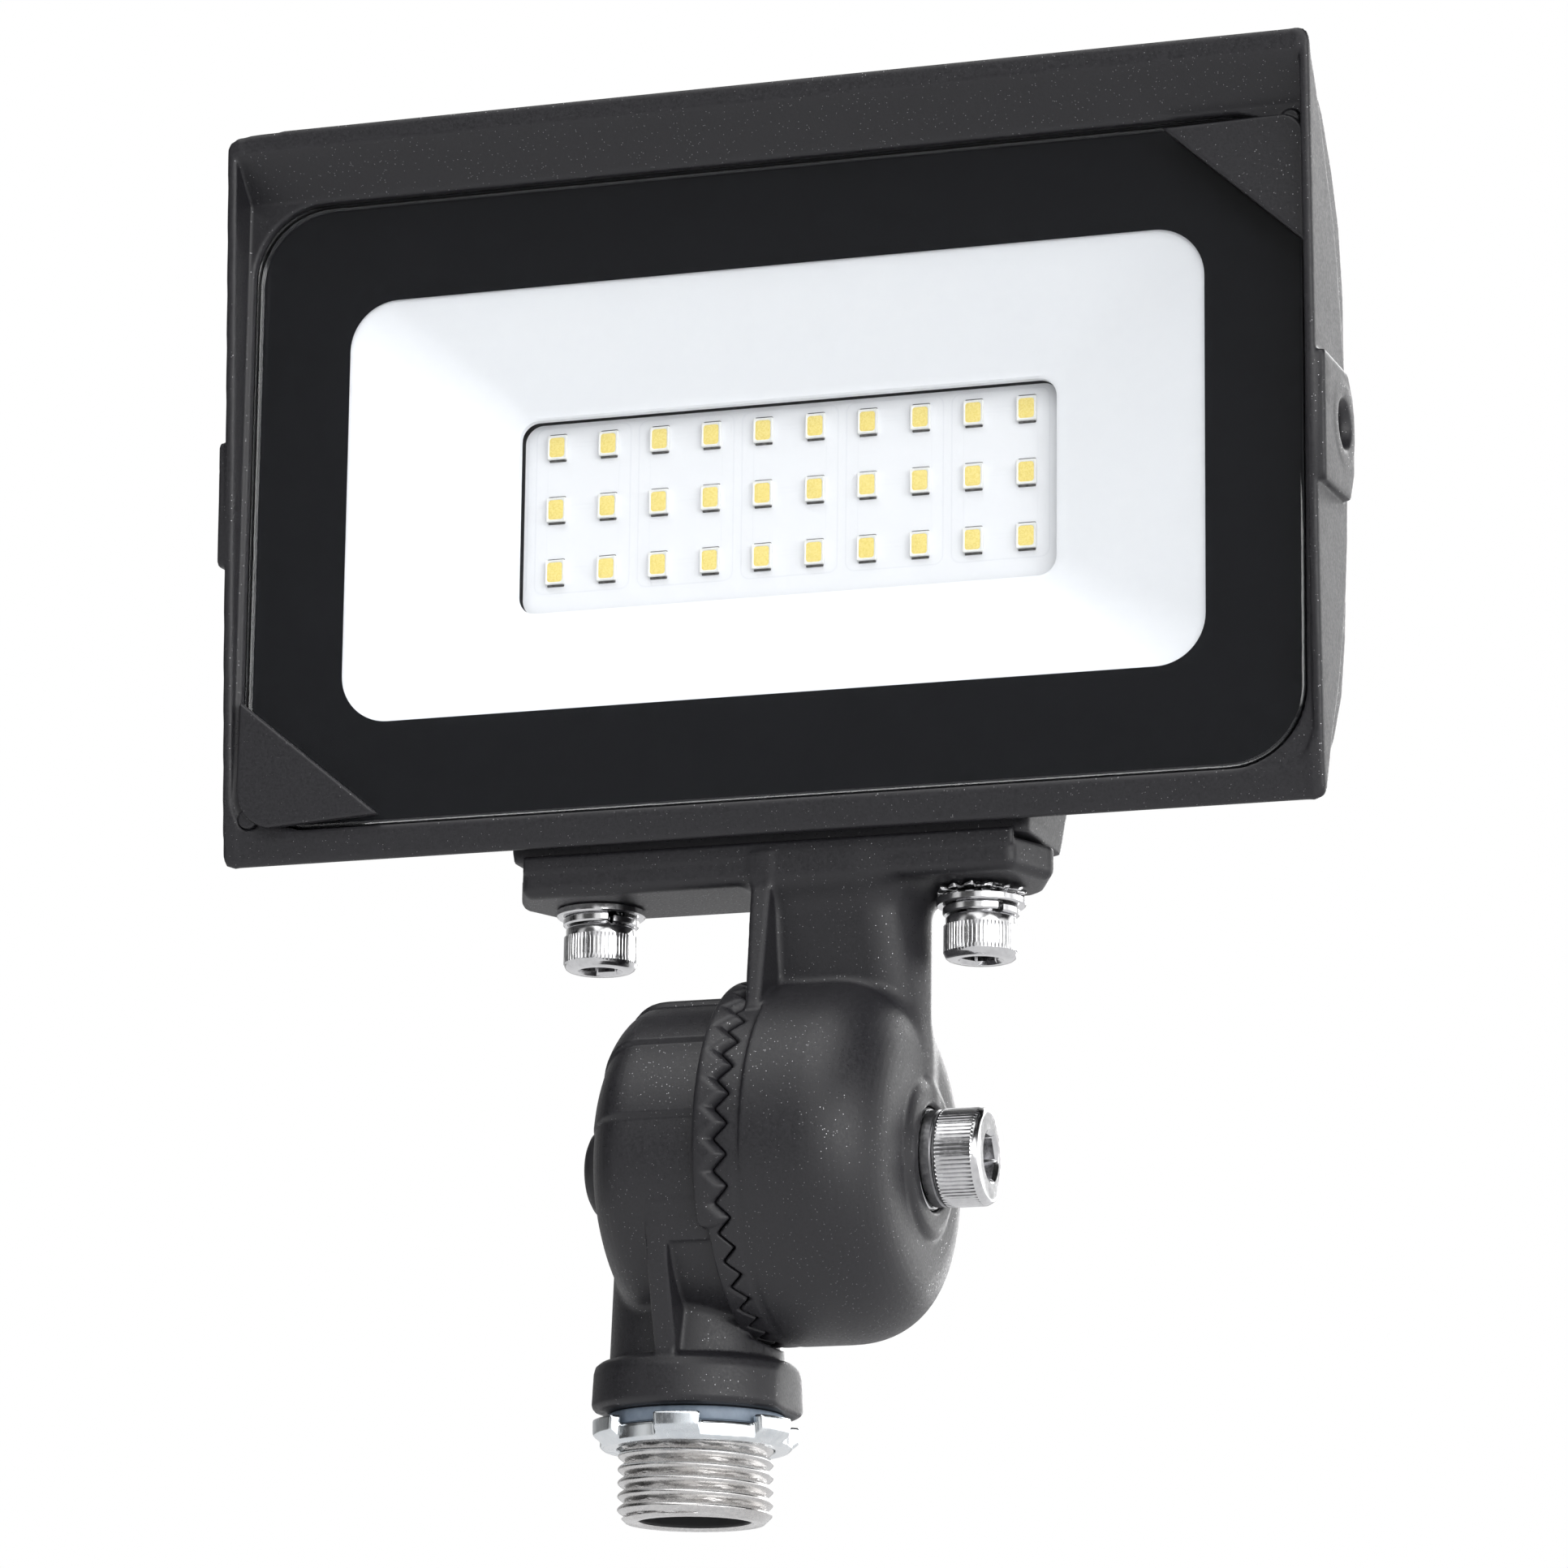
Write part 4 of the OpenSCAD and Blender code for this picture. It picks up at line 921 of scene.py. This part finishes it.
def make_gasket():
    rows = [(12.47, 10.75), (12.47, 11.75), (12.6, 11.97), (12.9, 12.06), (14.0, 12.06), (14.3, 11.95), (14.45, 11.7), (14.45, 10.75), (14.3, 10.6), (12.6, 10.6)]
    return turn("nipple_gasket", rows, 2, (0, 0, 0), 128, ring=True)


def make_nipple():
    """Bare threaded nipple, 14 turns to the inch."""
    n = 160
    t = np.arange(n) / n
    pitch = 25.4 / 14
    rows = []
    count = 110
    for k in range(count + 1):
        z = 14.9 - 14.9 * k / count
        u = ((z / pitch + t) % 1)
        w = abs(u - 0.5) * 2
        w = w ** 1.9 * 0.8 + w * w * (3 - 2 * w) * 0.2
        depth = 1.0 * min(1, max(0, (14.2 - z) / 0.8))
        r = 10.5 - depth * w
        r = np.minimum(r, 9.35 + z * 1.05)
        rows.append((z, r))
    rows[0] = (14.9, 10.3)
    rows += [(-0.0, 8.0), (0.0, 7.9), (0.3, 7.6), (0.7, 7.55), (7, 7.55), (14.9, 7.55)]
    return turn("nipple", rows, 2, (0, 0, 0), n, ring=True, sharp=60)


def make_cover_screws():
    made = []
    for x in (-57.8, 57.8):
        for z in (-35.8, 21.8):
            c = HEAD + np.array([x, 33.2, z])
            n = 96
            t = np.arange(n) * 2 * np.pi / n
            cross = np.maximum(abs(np.cos(t)), abs(np.sin(t)))
            slot_r = np.where(cross > 0.93, 1.55, 0.62)
            rows = [(-12.0, 0.2), (-11.6, 1.0), (-11.0, 1.48)] + [(-11.0 + k * 10.8 / 60, 1.5 - 0.22 * abs(((k / 3) % 1) - 0.5)) for k in range(61)]
            rows += [(0.0, 1.6), (0.0, 2.5), (0.15, 2.68), (0.9, 2.7), (1.35, 2.5), (1.7, 2.1), (1.9, 1.75), (1.95, slot_r * 1.06), (1.9, slot_r), (1.05, slot_r * 0.75), (0.8, 0.1)]
            made.append(turn("s", rows, 1, c, n, sharp=35))
    return merge("rear_cover_screw_set", made)


# ================================================================ materials
class Net:
    """A short way to write shader nodes."""

    def __init__(self, tree):
        self.tree = tree
        tree.nodes.clear()

    def add(self, kind, sockets=None, **settings):
        n = self.tree.nodes.new(kind)
        for k, v in settings.items():
            setattr(n, k, v)
        for k, v in (sockets or {}).items():
            self.put(n, k, v)
        return n

    def put(self, n, key, v):
        s = n.inputs[key]
        if isinstance(v, bpy.types.NodeSocket):
            self.tree.links.new(v, s)
        else:
            s.default_value = v

    def math(self, op, a, b=0.0, c=None, clamp=False):
        n = self.add("ShaderNodeMath", operation=op, use_clamp=clamp)
        self.put(n, 0, a)
        self.put(n, 1, b)
        if c is not None:
            self.put(n, 2, c)
        return n.outputs[0]

    def vec(self, op, a, b=(0, 0, 0), scale=None):
        n = self.add("ShaderNodeVectorMath", operation=op)
        self.put(n, 0, a)
        if op not in ("NORMALIZE", "LENGTH"):
            if op == "SCALE":
                self.put(n, "Scale", scale)
            else:
                self.put(n, 1, b)
        return n.outputs[0]

    def span(self, v, a, b, c, d, kind="LINEAR"):
        return self.add("ShaderNodeMapRange", interpolation_type=kind,
                        sockets={"Value": v, "From Min": a, "From Max": b, "To Min": c, "To Max": d}).outputs[0]

    def noise(self, co, scale, detail=2.0, rough=0.5):
        return self.add("ShaderNodeTexNoise", sockets={"Vector": co, "Scale": scale, "Detail": detail, "Roughness": rough})

    def tint(self, fac, a, b):
        n = self.add("ShaderNodeMix", data_type="RGBA")
        n.inputs[0].default_value = 0.5
        self.put(n, 0, fac)
        self.put(n, 6, (*a, 1) if isinstance(a, tuple) else a)
        self.put(n, 7, (*b, 1) if isinstance(b, tuple) else b)
        return n.outputs[2]


def new_material(name):
    m = bpy.data.materials.new(name)
    m.use_nodes = True
    return m, Net(m.node_tree)


def start(name):
    m, n = new_material(name)
    out = n.add("ShaderNodeOutputMaterial")
    co = n.add("ShaderNodeTexCoord").outputs["Object"]
    return m, n, out, co


def powder_coat():
    """Satin charcoal powder coat: fine orange peel and grain, and a few bright metal flakes."""
    m, n, out, co = start("powder_coat")
    grain = n.noise(co, 2600, 2.0, 0.55).outputs["Fac"]
    peel = n.noise(co, 420, 1.0).outputs["Fac"]
    cloud = n.noise(co, 38, 2.0).outputs["Fac"]
    height = n.math("ADD", n.math("MULTIPLY", grain, 0.65), n.math("MULTIPLY", peel, 0.8))
    bump = n.add("ShaderNodeBump", sockets={"Height": height, "Strength": 0.32, "Distance": 0.00008})
    colour = n.tint(n.span(grain, 0.3, 0.7, 0.0, 1.0), (0.0100, 0.0096, 0.0120), (0.0165, 0.0160, 0.0196))
    colour = n.tint(n.span(cloud, 0.35, 0.65, 0.0, 0.2), colour, (0.018, 0.0174, 0.021))
    rough = n.span(grain, 0.3, 0.7, 0.40, 0.54)
    base = n.add("ShaderNodeBsdfPrincipled", sockets={"Base Color": colour, "Roughness": rough, "Normal": bump.outputs[0], "IOR": 1.5, "Specular IOR Level": 0.55})
    # flakes: small spots, each turned its own way
    cell = n.add("ShaderNodeTexVoronoi", sockets={"Vector": co, "Scale": 4600, "Randomness": 1.0})
    rnd = n.add("ShaderNodeSeparateColor", sockets={0: cell.outputs["Color"]})
    spot = n.math("LESS_THAN", cell.outputs["Distance"], 0.30)
    few = n.math("GREATER_THAN", rnd.outputs[0], 0.94)
    mask = n.math("MULTIPLY", spot, few)
    geo = n.add("ShaderNodeNewGeometry").outputs["Normal"]
    turn_ = n.vec("SCALE", n.vec("SUBTRACT", cell.outputs["Color"], (0.5, 0.5, 0.5)), scale=0.26)
    facing = n.vec("NORMALIZE", n.vec("ADD", geo, turn_))
    flake = n.add("ShaderNodeBsdfPrincipled", sockets={"Base Color": (0.3, 0.3, 0.31, 1), "Metallic": 1.0, "Roughness": 0.14, "Normal": facing})
    mix = n.add("ShaderNodeMixShader", sockets={0: n.math("MULTIPLY", mask, 0.6), 1: base.outputs[0], 2: flake.outputs[0]})
    n.put(out, "Surface", mix.outputs[0])
    return m


def metal(name, low, high, rough0, rough1, grain=900, streak=None, bump=0.1, dirt=None):
    """Bare metal with fine marks; streak stretches the marks along an axis."""
    m, n, out, co = start(name)
    v = co
    if streak:
        v = n.vec("MULTIPLY", co, streak)
    g = n.noise(v, grain, 3.0, 0.6).outputs["Fac"]
    soft = n.noise(co, 120, 2.0).outputs["Fac"]
    colour = n.tint(n.span(g, 0.3, 0.7, 0.0, 1.0), low, high)
    if dirt:
        colour = n.tint(n.span(soft, 0.45, 0.75, 0.0, 0.6), colour, dirt)
    b = n.add("ShaderNodeBump", sockets={"Height": g, "Strength": bump, "Distance": 0.00004})
    rough = n.math("ADD", n.span(g, 0.3, 0.7, rough0, rough1), n.span(soft, 0.3, 0.7, -0.03, 0.05))
    s = n.add("ShaderNodeBsdfPrincipled", sockets={"Base Color": colour, "Metallic": 1.0, "Roughness": rough, "Normal": b.outputs[0]})
    n.put(out, "Surface", s.outputs[0])
    return m


def moulded(name, low, high, rough0, rough1, grain=1400, bump=0.12, distance=0.00004, **sockets):
    """Rubber, plastic or board: fine grain in colour, gloss and height."""
    m, n, out, co = start(name)
    g = n.noise(co, grain, 2.0, 0.55).outputs["Fac"]
    soft = n.noise(co, 70, 2.0).outputs["Fac"]
    colour = n.tint(n.math("ADD", n.span(g, 0.3, 0.7, 0.0, 0.7), n.span(soft, 0.3, 0.7, 0.0, 0.3), clamp=True), low, high)
    b = n.add("ShaderNodeBump", sockets={"Height": g, "Strength": bump, "Distance": distance})
    s = {"Base Color": colour, "Roughness": n.span(g, 0.3, 0.7, rough0, rough1), "Normal": b.outputs[0]}
    s.update(sockets)
    p = n.add("ShaderNodeBsdfPrincipled", sockets=s)
    n.put(out, "Surface", p.outputs[0])
    return m


def clear_glass():
    """Polished clear pane. Light for shadows passes straight through."""
    m, n, out, co = start("tempered_glass")
    dust = n.noise(co, 160, 3.0).outputs["Fac"]
    g = n.add("ShaderNodeBsdfPrincipled", sockets={"Base Color": n.tint(dust, (0.985, 0.995, 1.0), (0.995, 1.0, 1.0)), "Roughness": 0.0, "IOR": 1.5, "Transmission Weight": 1.0})
    t = n.add("ShaderNodeBsdfTransparent", sockets={"Color": (0.98, 0.985, 0.99, 1)})
    lp = n.add("ShaderNodeLightPath")
    mix = n.add("ShaderNodeMixShader", sockets={0: lp.outputs["Is Shadow Ray"], 1: g.outputs[0], 2: t.outputs[0]})
    n.put(out, "Surface", mix.outputs[0])
    return m


def board_white_and_painted_shade():
    """White solder mask with the faint outlines of the copper under it; beyond the reflector's opening it is painted
    near black, painted shade for the dark gap under the reflector's lip.
    """
    m, n, out, co = start("white_solder_mask_and_painted_shade")
    g = n.noise(co, 1500, 2.0).outputs["Fac"]
    sep = n.add("ShaderNodeSeparateXYZ", sockets={0: co})
    x = n.math("MULTIPLY", n.math("SUBTRACT", sep.outputs[0], HEAD[0] / 1000), 1000.0)
    z = n.math("MULTIPLY", n.math("SUBTRACT", sep.outputs[2], (HEAD[2] + 0.77) / 1000), 1000.0)

    def rounded(u, v, hu, hv, r):
        a = n.math("MAXIMUM", n.math("SUBTRACT", n.math("ABSOLUTE", u), hu - r), 0.0)
        b = n.math("MAXIMUM", n.math("SUBTRACT", n.math("ABSOLUTE", v), hv - r), 0.0)
        return n.math("SUBTRACT", n.math("SQRT", n.math("ADD", n.math("MULTIPLY", a, a), n.math("MULTIPLY", b, b))), r)
    # copper areas, each under two columns of diodes
    u = n.math("MULTIPLY", n.math("SUBTRACT", n.math("FRACT", n.math("ADD", n.math("DIVIDE", x, 15.23), 0.5)), 0.5), 15.23)
    area = n.math("LESS_THAN", n.math("ABSOLUTE", rounded(u, z, 7.0, 12.0, 1.3)), 0.1)
    side = n.math("LESS_THAN", n.math("ABSOLUTE", n.math("SUBTRACT", n.math("ABSOLUTE", u), 5.3)), 0.07)
    side = n.math("MULTIPLY", side, n.math("LESS_THAN", n.math("ABSOLUTE", z), 11.0))
    row = n.math("MULTIPLY", n.math("SUBTRACT", n.math("FRACT", n.math("ADD", n.math("DIVIDE", z, 9.05), 0.5)), 0.5), 9.05)
    link = n.math("LESS_THAN", n.math("ABSOLUTE", n.math("SUBTRACT", n.math("ABSOLUTE", n.math("SUBTRACT", row, 0.3)), 0.32)), 0.06)
    link = n.math("MULTIPLY", link, n.math("LESS_THAN", n.math("ABSOLUTE", u), 2.4))
    line = n.math("MAXIMUM", n.math("MAXIMUM", area, n.math("MULTIPLY", side, 0.6)), n.math("MULTIPLY", link, 0.5))
    colour = n.tint(g, (0.87, 0.88, 0.91), (0.91, 0.92, 0.94))
    colour = n.tint(n.math("MULTIPLY", line, 0.22), colour, (0.66, 0.68, 0.73))
    # painted shade: the board outside the reflector's opening is coloured near black, standing in for the shade under
    # the reflector's lip
    painted_shade_beyond = n.math("GREATER_THAN", rounded(x, n.math("ADD", z, 1.395), 39.1, 13.875, 2.6), 0.05)
    colour = n.tint(painted_shade_beyond, colour, (0.012, 0.012, 0.014))
    b = n.add("ShaderNodeBump", sockets={"Height": n.math("SUBTRACT", n.math("MULTIPLY", g, 0.3), line), "Strength": 0.25, "Distance": 0.00004})
    s = n.add("ShaderNodeBsdfPrincipled", sockets={"Base Color": colour, "Roughness": n.span(g, 0.3, 0.7, 0.36, 0.48), "Normal": b.outputs[0]})
    n.put(out, "Surface", s.outputs[0])
    return m


MAT = {
    "coat": powder_coat(),
    "glass": clear_glass(),
    "print": moulded("black_glass_print", (0.0026, 0.0030, 0.0046), (0.0044, 0.0049, 0.0068), 0.5, 0.6, 700, 0.02, **{"Specular IOR Level": 0.1}),
    "white_rubber": moulded("white_silicone", (0.72, 0.72, 0.71), (0.8, 0.8, 0.79), 0.5, 0.62),
    "grey_rubber": moulded("grey_silicone", (0.27, 0.28, 0.3), (0.34, 0.35, 0.37), 0.52, 0.66),
    "black_rubber": moulded("black_rubber", (0.009, 0.009, 0.011), (0.018, 0.018, 0.021), 0.42, 0.6, 1700, 0.25, 0.00006),
    "gasket": moulded("blue_grey_gasket", (0.19, 0.24, 0.31), (0.28, 0.34, 0.42), 0.38, 0.52, 900, 0.2, 0.00006),
    "stainless": metal("stainless_steel", (0.44, 0.44, 0.45), (0.6, 0.6, 0.61), 0.24, 0.36),
    "polished": metal("polished_stainless", (0.62, 0.62, 0.63), (0.75, 0.75, 0.76), 0.09, 0.2, 1200, None, 0.16),
    "dark_steel": metal("dull_spring_steel", (0.2, 0.2, 0.21), (0.34, 0.34, 0.35), 0.26, 0.4, 1500, None, 0.2),
    "zinc": metal("bright_zinc", (0.72, 0.755, 0.78), (0.86, 0.885, 0.9), 0.14, 0.3, 900, (1, 1, 0.3), 0.25, (0.6, 0.66, 0.72)),
    "thread": metal("bare_cast_metal", (0.60, 0.595, 0.595), (0.76, 0.75, 0.74), 0.2, 0.3, 1500, (1, 1, 2), 0.12, (0.54, 0.52, 0.505)),
    # near-black colour for the inside of the nipple's bore, darker than the bare thread outside
    "bore": moulded("near_black_bore", (0.006, 0.006, 0.007), (0.016, 0.0155, 0.016), 0.35, 0.6, 900, 0.3, 0.00008),
    "reflector": moulded("white_reflector", (0.88, 0.895, 0.925), (0.91, 0.925, 0.95), 0.3, 0.42, 1200, 0.06),
    "board": board_white_and_painted_shade(),
    "led_body": moulded("led_body", (0.84, 0.84, 0.82), (0.9, 0.9, 0.88), 0.34, 0.46, 1800, 0.1),
    "phosphor": moulded("phosphor_fill", (0.90, 0.72, 0.20), (0.95, 0.80, 0.30), 0.22, 0.34, 5200, 0.2, 0.00003),
    # solder colour made very dark: partly real solder, partly painted shade for the shadow line under each diode
    "solder": metal("solder", (0.06, 0.057, 0.054), (0.2, 0.195, 0.19), 0.25, 0.4, 2000),
    "green_board": moulded("green_solder_mask", (0.012, 0.1, 0.03), (0.02, 0.15, 0.045), 0.3, 0.42, 1300, 0.1),
    "tape": moulded("transformer_tape", (0.68, 0.45, 0.03), (0.8, 0.58, 0.06), 0.28, 0.4, 900, 0.1),
    "sleeve": moulded("capacitor_sleeve", (0.012, 0.018, 0.06), (0.025, 0.035, 0.1), 0.22, 0.34, 900, 0.06),
    "terminal": moulded("terminal_plastic", (0.03, 0.17, 0.04), (0.05, 0.23, 0.07), 0.38, 0.5, 1200, 0.1),
    "lead": moulded("lead_insulation", (0.45, 0.015, 0.012), (0.6, 0.03, 0.022), 0.36, 0.48, 1200, 0.08),
}


def dress(ob, mat):
    ob.data.materials.clear()
    ob.data.materials.append(MAT[mat])


def place(ob, mat, slot_name, body, *nodes):
    dress(ob, mat)
    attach(ob, body)
    if nodes:
        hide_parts(*nodes)
    return ob


# ================================================================ assembly
place(make_housing(), "coat", "painted_casting", "lamp_head", "housing")
place(make_cover(), "coat", "painted_casting", "lamp_head", "rear_cover")
for clip in make_clips():
    place(clip, "coat", "painted_casting", "lamp_head", "corner_clips")
pane, black = make_glass()
place(pane, "glass", "printed_glass", "lamp_head", "glass_lens")
place(black, "print", "printed_glass", "lamp_head", "glass_lens")
place(make_reflector(), "reflector", "white_reflector", "lamp_head", "reflector")
place(make_board(), "board", "white_board", "lamp_head", "led_board")
led_b, led_f, led_shade_strips = make_leds()
place(led_b, "led_body", "led_body", "lamp_head", "led_packages")
# the solder strips take the dark solder colour, which paints the shade under each package
place(led_shade_strips, "solder", "stainless", "lamp_head", "led_packages")
place(led_f, "phosphor", "led_phosphor", "lamp_head", "led_phosphors")
place(make_cover_screws(), "stainless", "stainless", "lamp_head", "rear_cover_screws")
place(make_bracket(), "coat", "painted_casting", "lamp_head", "bracket")
screws, springs, flats = make_m6()
for o in screws:
    place(o, "polished", "polished_stainless", "lamp_head", "m6_bolts")
for o in springs:
    place(o, "polished", "polished_stainless", "lamp_head", "m6_spring_washers")
for o in flats:
    place(o, "polished", "polished_stainless", "lamp_head", "m6_flat_washers")
place(make_star_washer(), "polished", "polished_stainless", "lamp_head", "star_washer")
bolt, flat, spring = make_clamp()
place(bolt, "polished", "polished_stainless", "clamp_bolt", "pivot_bolt")
place(flat, "polished", "polished_stainless", "clamp_bolt", "pivot_washer")
place(spring, "dark_steel", "dark_steel", "clamp_bolt", "pivot_spring_washer")
place(make_base(), "coat", "painted_casting", "knuckle_base", "knuckle_base")
nipple = place(make_nipple(), "thread", "painted_casting", "knuckle_base", "knuckle_base")
# the faces inside the bore take the near-black colour
nipple.data.materials.append(MAT["bore"])
for p in nipple.data.polygons:
    c = p.center
    if math.hypot(c.x, c.y) < 0.0078 and c.z > 0.0004:
        p.material_index = 1
place(make_plug(), "black_rubber", "black_rubber", "knuckle_base", "cap_plug")
place(make_gasket(), "gasket", "blue_grey_gasket", "conduit_gasket", "conduit_gasket")
place(make_locknut(), "zinc", "zinc_plated", "locknut", "locknut")

for node, mat in {
    "lens_gasket": "white_rubber", "clip_screws": "stainless", "board_screws": "stainless", "led_leads": "lead",
    "driver_board": "green_board", "driver_transformer": "tape", "driver_capacitors": "sleeve", "driver_terminal": "terminal",
    "driver_screws": "stainless", "rear_gasket": "grey_rubber", "wire_grommet": "grey_rubber", "pad_gasket": "black_rubber",
    "knuckle_seal": "black_rubber", "pivot_nut": "stainless",
}.items():
    o = NODES[node]
    o.data.materials.clear()
    o.data.materials.append(MAT[mat])


# ---------------------------------------------------------------- stage
def make_stage():
    me = bpy.data.meshes.new("floor")
    bm = bmesh.new()
    bmesh.ops.create_grid(bm, x_segments=2, y_segments=2, size=3)
    bm.to_mesh(me)
    bm.free()
    floor = bpy.data.objects.new("floor", me)
    floor.location = (0, 0, -0.22)
    scene.collection.objects.link(floor)
    m, n = new_material("floor")
    out = n.add("ShaderNodeOutputMaterial")
    b = n.add("ShaderNodeBsdfPrincipled", sockets={"Base Color": (0.86, 0.86, 0.87, 1), "Roughness": 0.8})
    n.put(out, "Surface", b.outputs[0])
    me.materials.append(m)



# Soft boxes of the studio: bearing from the front towards the right and height (degrees), half angle to the edge and to the full light, strength.
ROOM = 0.012
BOXES = [
    ("front", 5, 10, 30, 10, 1.0),
    ("strip", 30, 10, 10, 3, 4.0),
    ("front_right", 38, 12, 22, 7, 0.75),
    ("key", 50, 12, 22, 7, 2.9),
    ("key_side", 65, 10, 22, 7, 1.8),
    ("side", 80, 6, 22, 7, 0.9),
    ("right", 100, 3, 22, 7, 1.0),
    ("right_back", 120, 0, 22, 7, 1.4),
    ("back_right", 140, 8, 22, 7, 2.6),
    ("behind", 168, 17, 24, 9, 7.5),
    ("back", -160, 15, 45, 15, 0.5),
    ("left", -110, 0, 30, 10, 0.2),
    ("left_front", -38, 5, 30, 10, 0.75),
    ("front_up", 0, 40, 30, 10, 1.25),
    ("left_up", -60, 66, 30, 10, 0.9),
    ("top", 0, 70, 30, 10, 2.2),
]
# Cards that the glass and the end of the clamping bolt mirror: bearing, height, half angles, grey.
CARDS = [(-18.6, 13, 24, 13, 0.10), (161.4, 13, 15, 9, 0.75)]


def bearing(az, el):
    a, e = math.radians(az), math.radians(el)
    return (math.sin(a) * math.cos(e), -math.cos(a) * math.cos(e), math.sin(e))


def make_world(boxes, room, cards):
    world = bpy.data.worlds.new("studio")
    scene.world = world
    world.use_nodes = True
    n = Net(world.node_tree)
    out = n.add("ShaderNodeOutputWorld")
    co = n.add("ShaderNodeTexCoord").outputs["Generated"]

    def lobe(way, edge, full, low, high):
        d = n.add("ShaderNodeVectorMath", operation="DOT_PRODUCT")
        n.put(d, 0, co)
        n.put(d, 1, way)
        return n.span(d.outputs["Value"], math.cos(math.radians(edge)), math.cos(math.radians(full)), low, high, "SMOOTHSTEP")
    total = room
    for _, az, el, edge, full, power in boxes:
        total = n.math("ADD", lobe(bearing(az, el), edge, full, 0.0, power), total)
    for card in cards:
        az, el, edge, full, grey = card
        total = n.math("MULTIPLY", lobe(bearing(az, el), edge, full, 1.0, 0.0), total)
        total = n.math("ADD", lobe(bearing(az, el), edge, full, 0.0, grey), total)
    dim = n.add("ShaderNodeBackground", sockets={"Color": (1, 1, 1, 1), "Strength": total})
    white = n.add("ShaderNodeBackground", sockets={"Color": (1, 1, 1, 1), "Strength": 1.0})
    lp = n.add("ShaderNodeLightPath")
    mix = n.add("ShaderNodeMixShader", sockets={0: lp.outputs["Is Camera Ray"], 1: dim.outputs[0], 2: white.outputs[0]})
    n.put(out, "Surface", mix.outputs[0])


make_stage()
make_world(BOXES, ROOM, CARDS)
scene.view_settings.view_transform = "Standard"
scene.view_settings.look = "None"
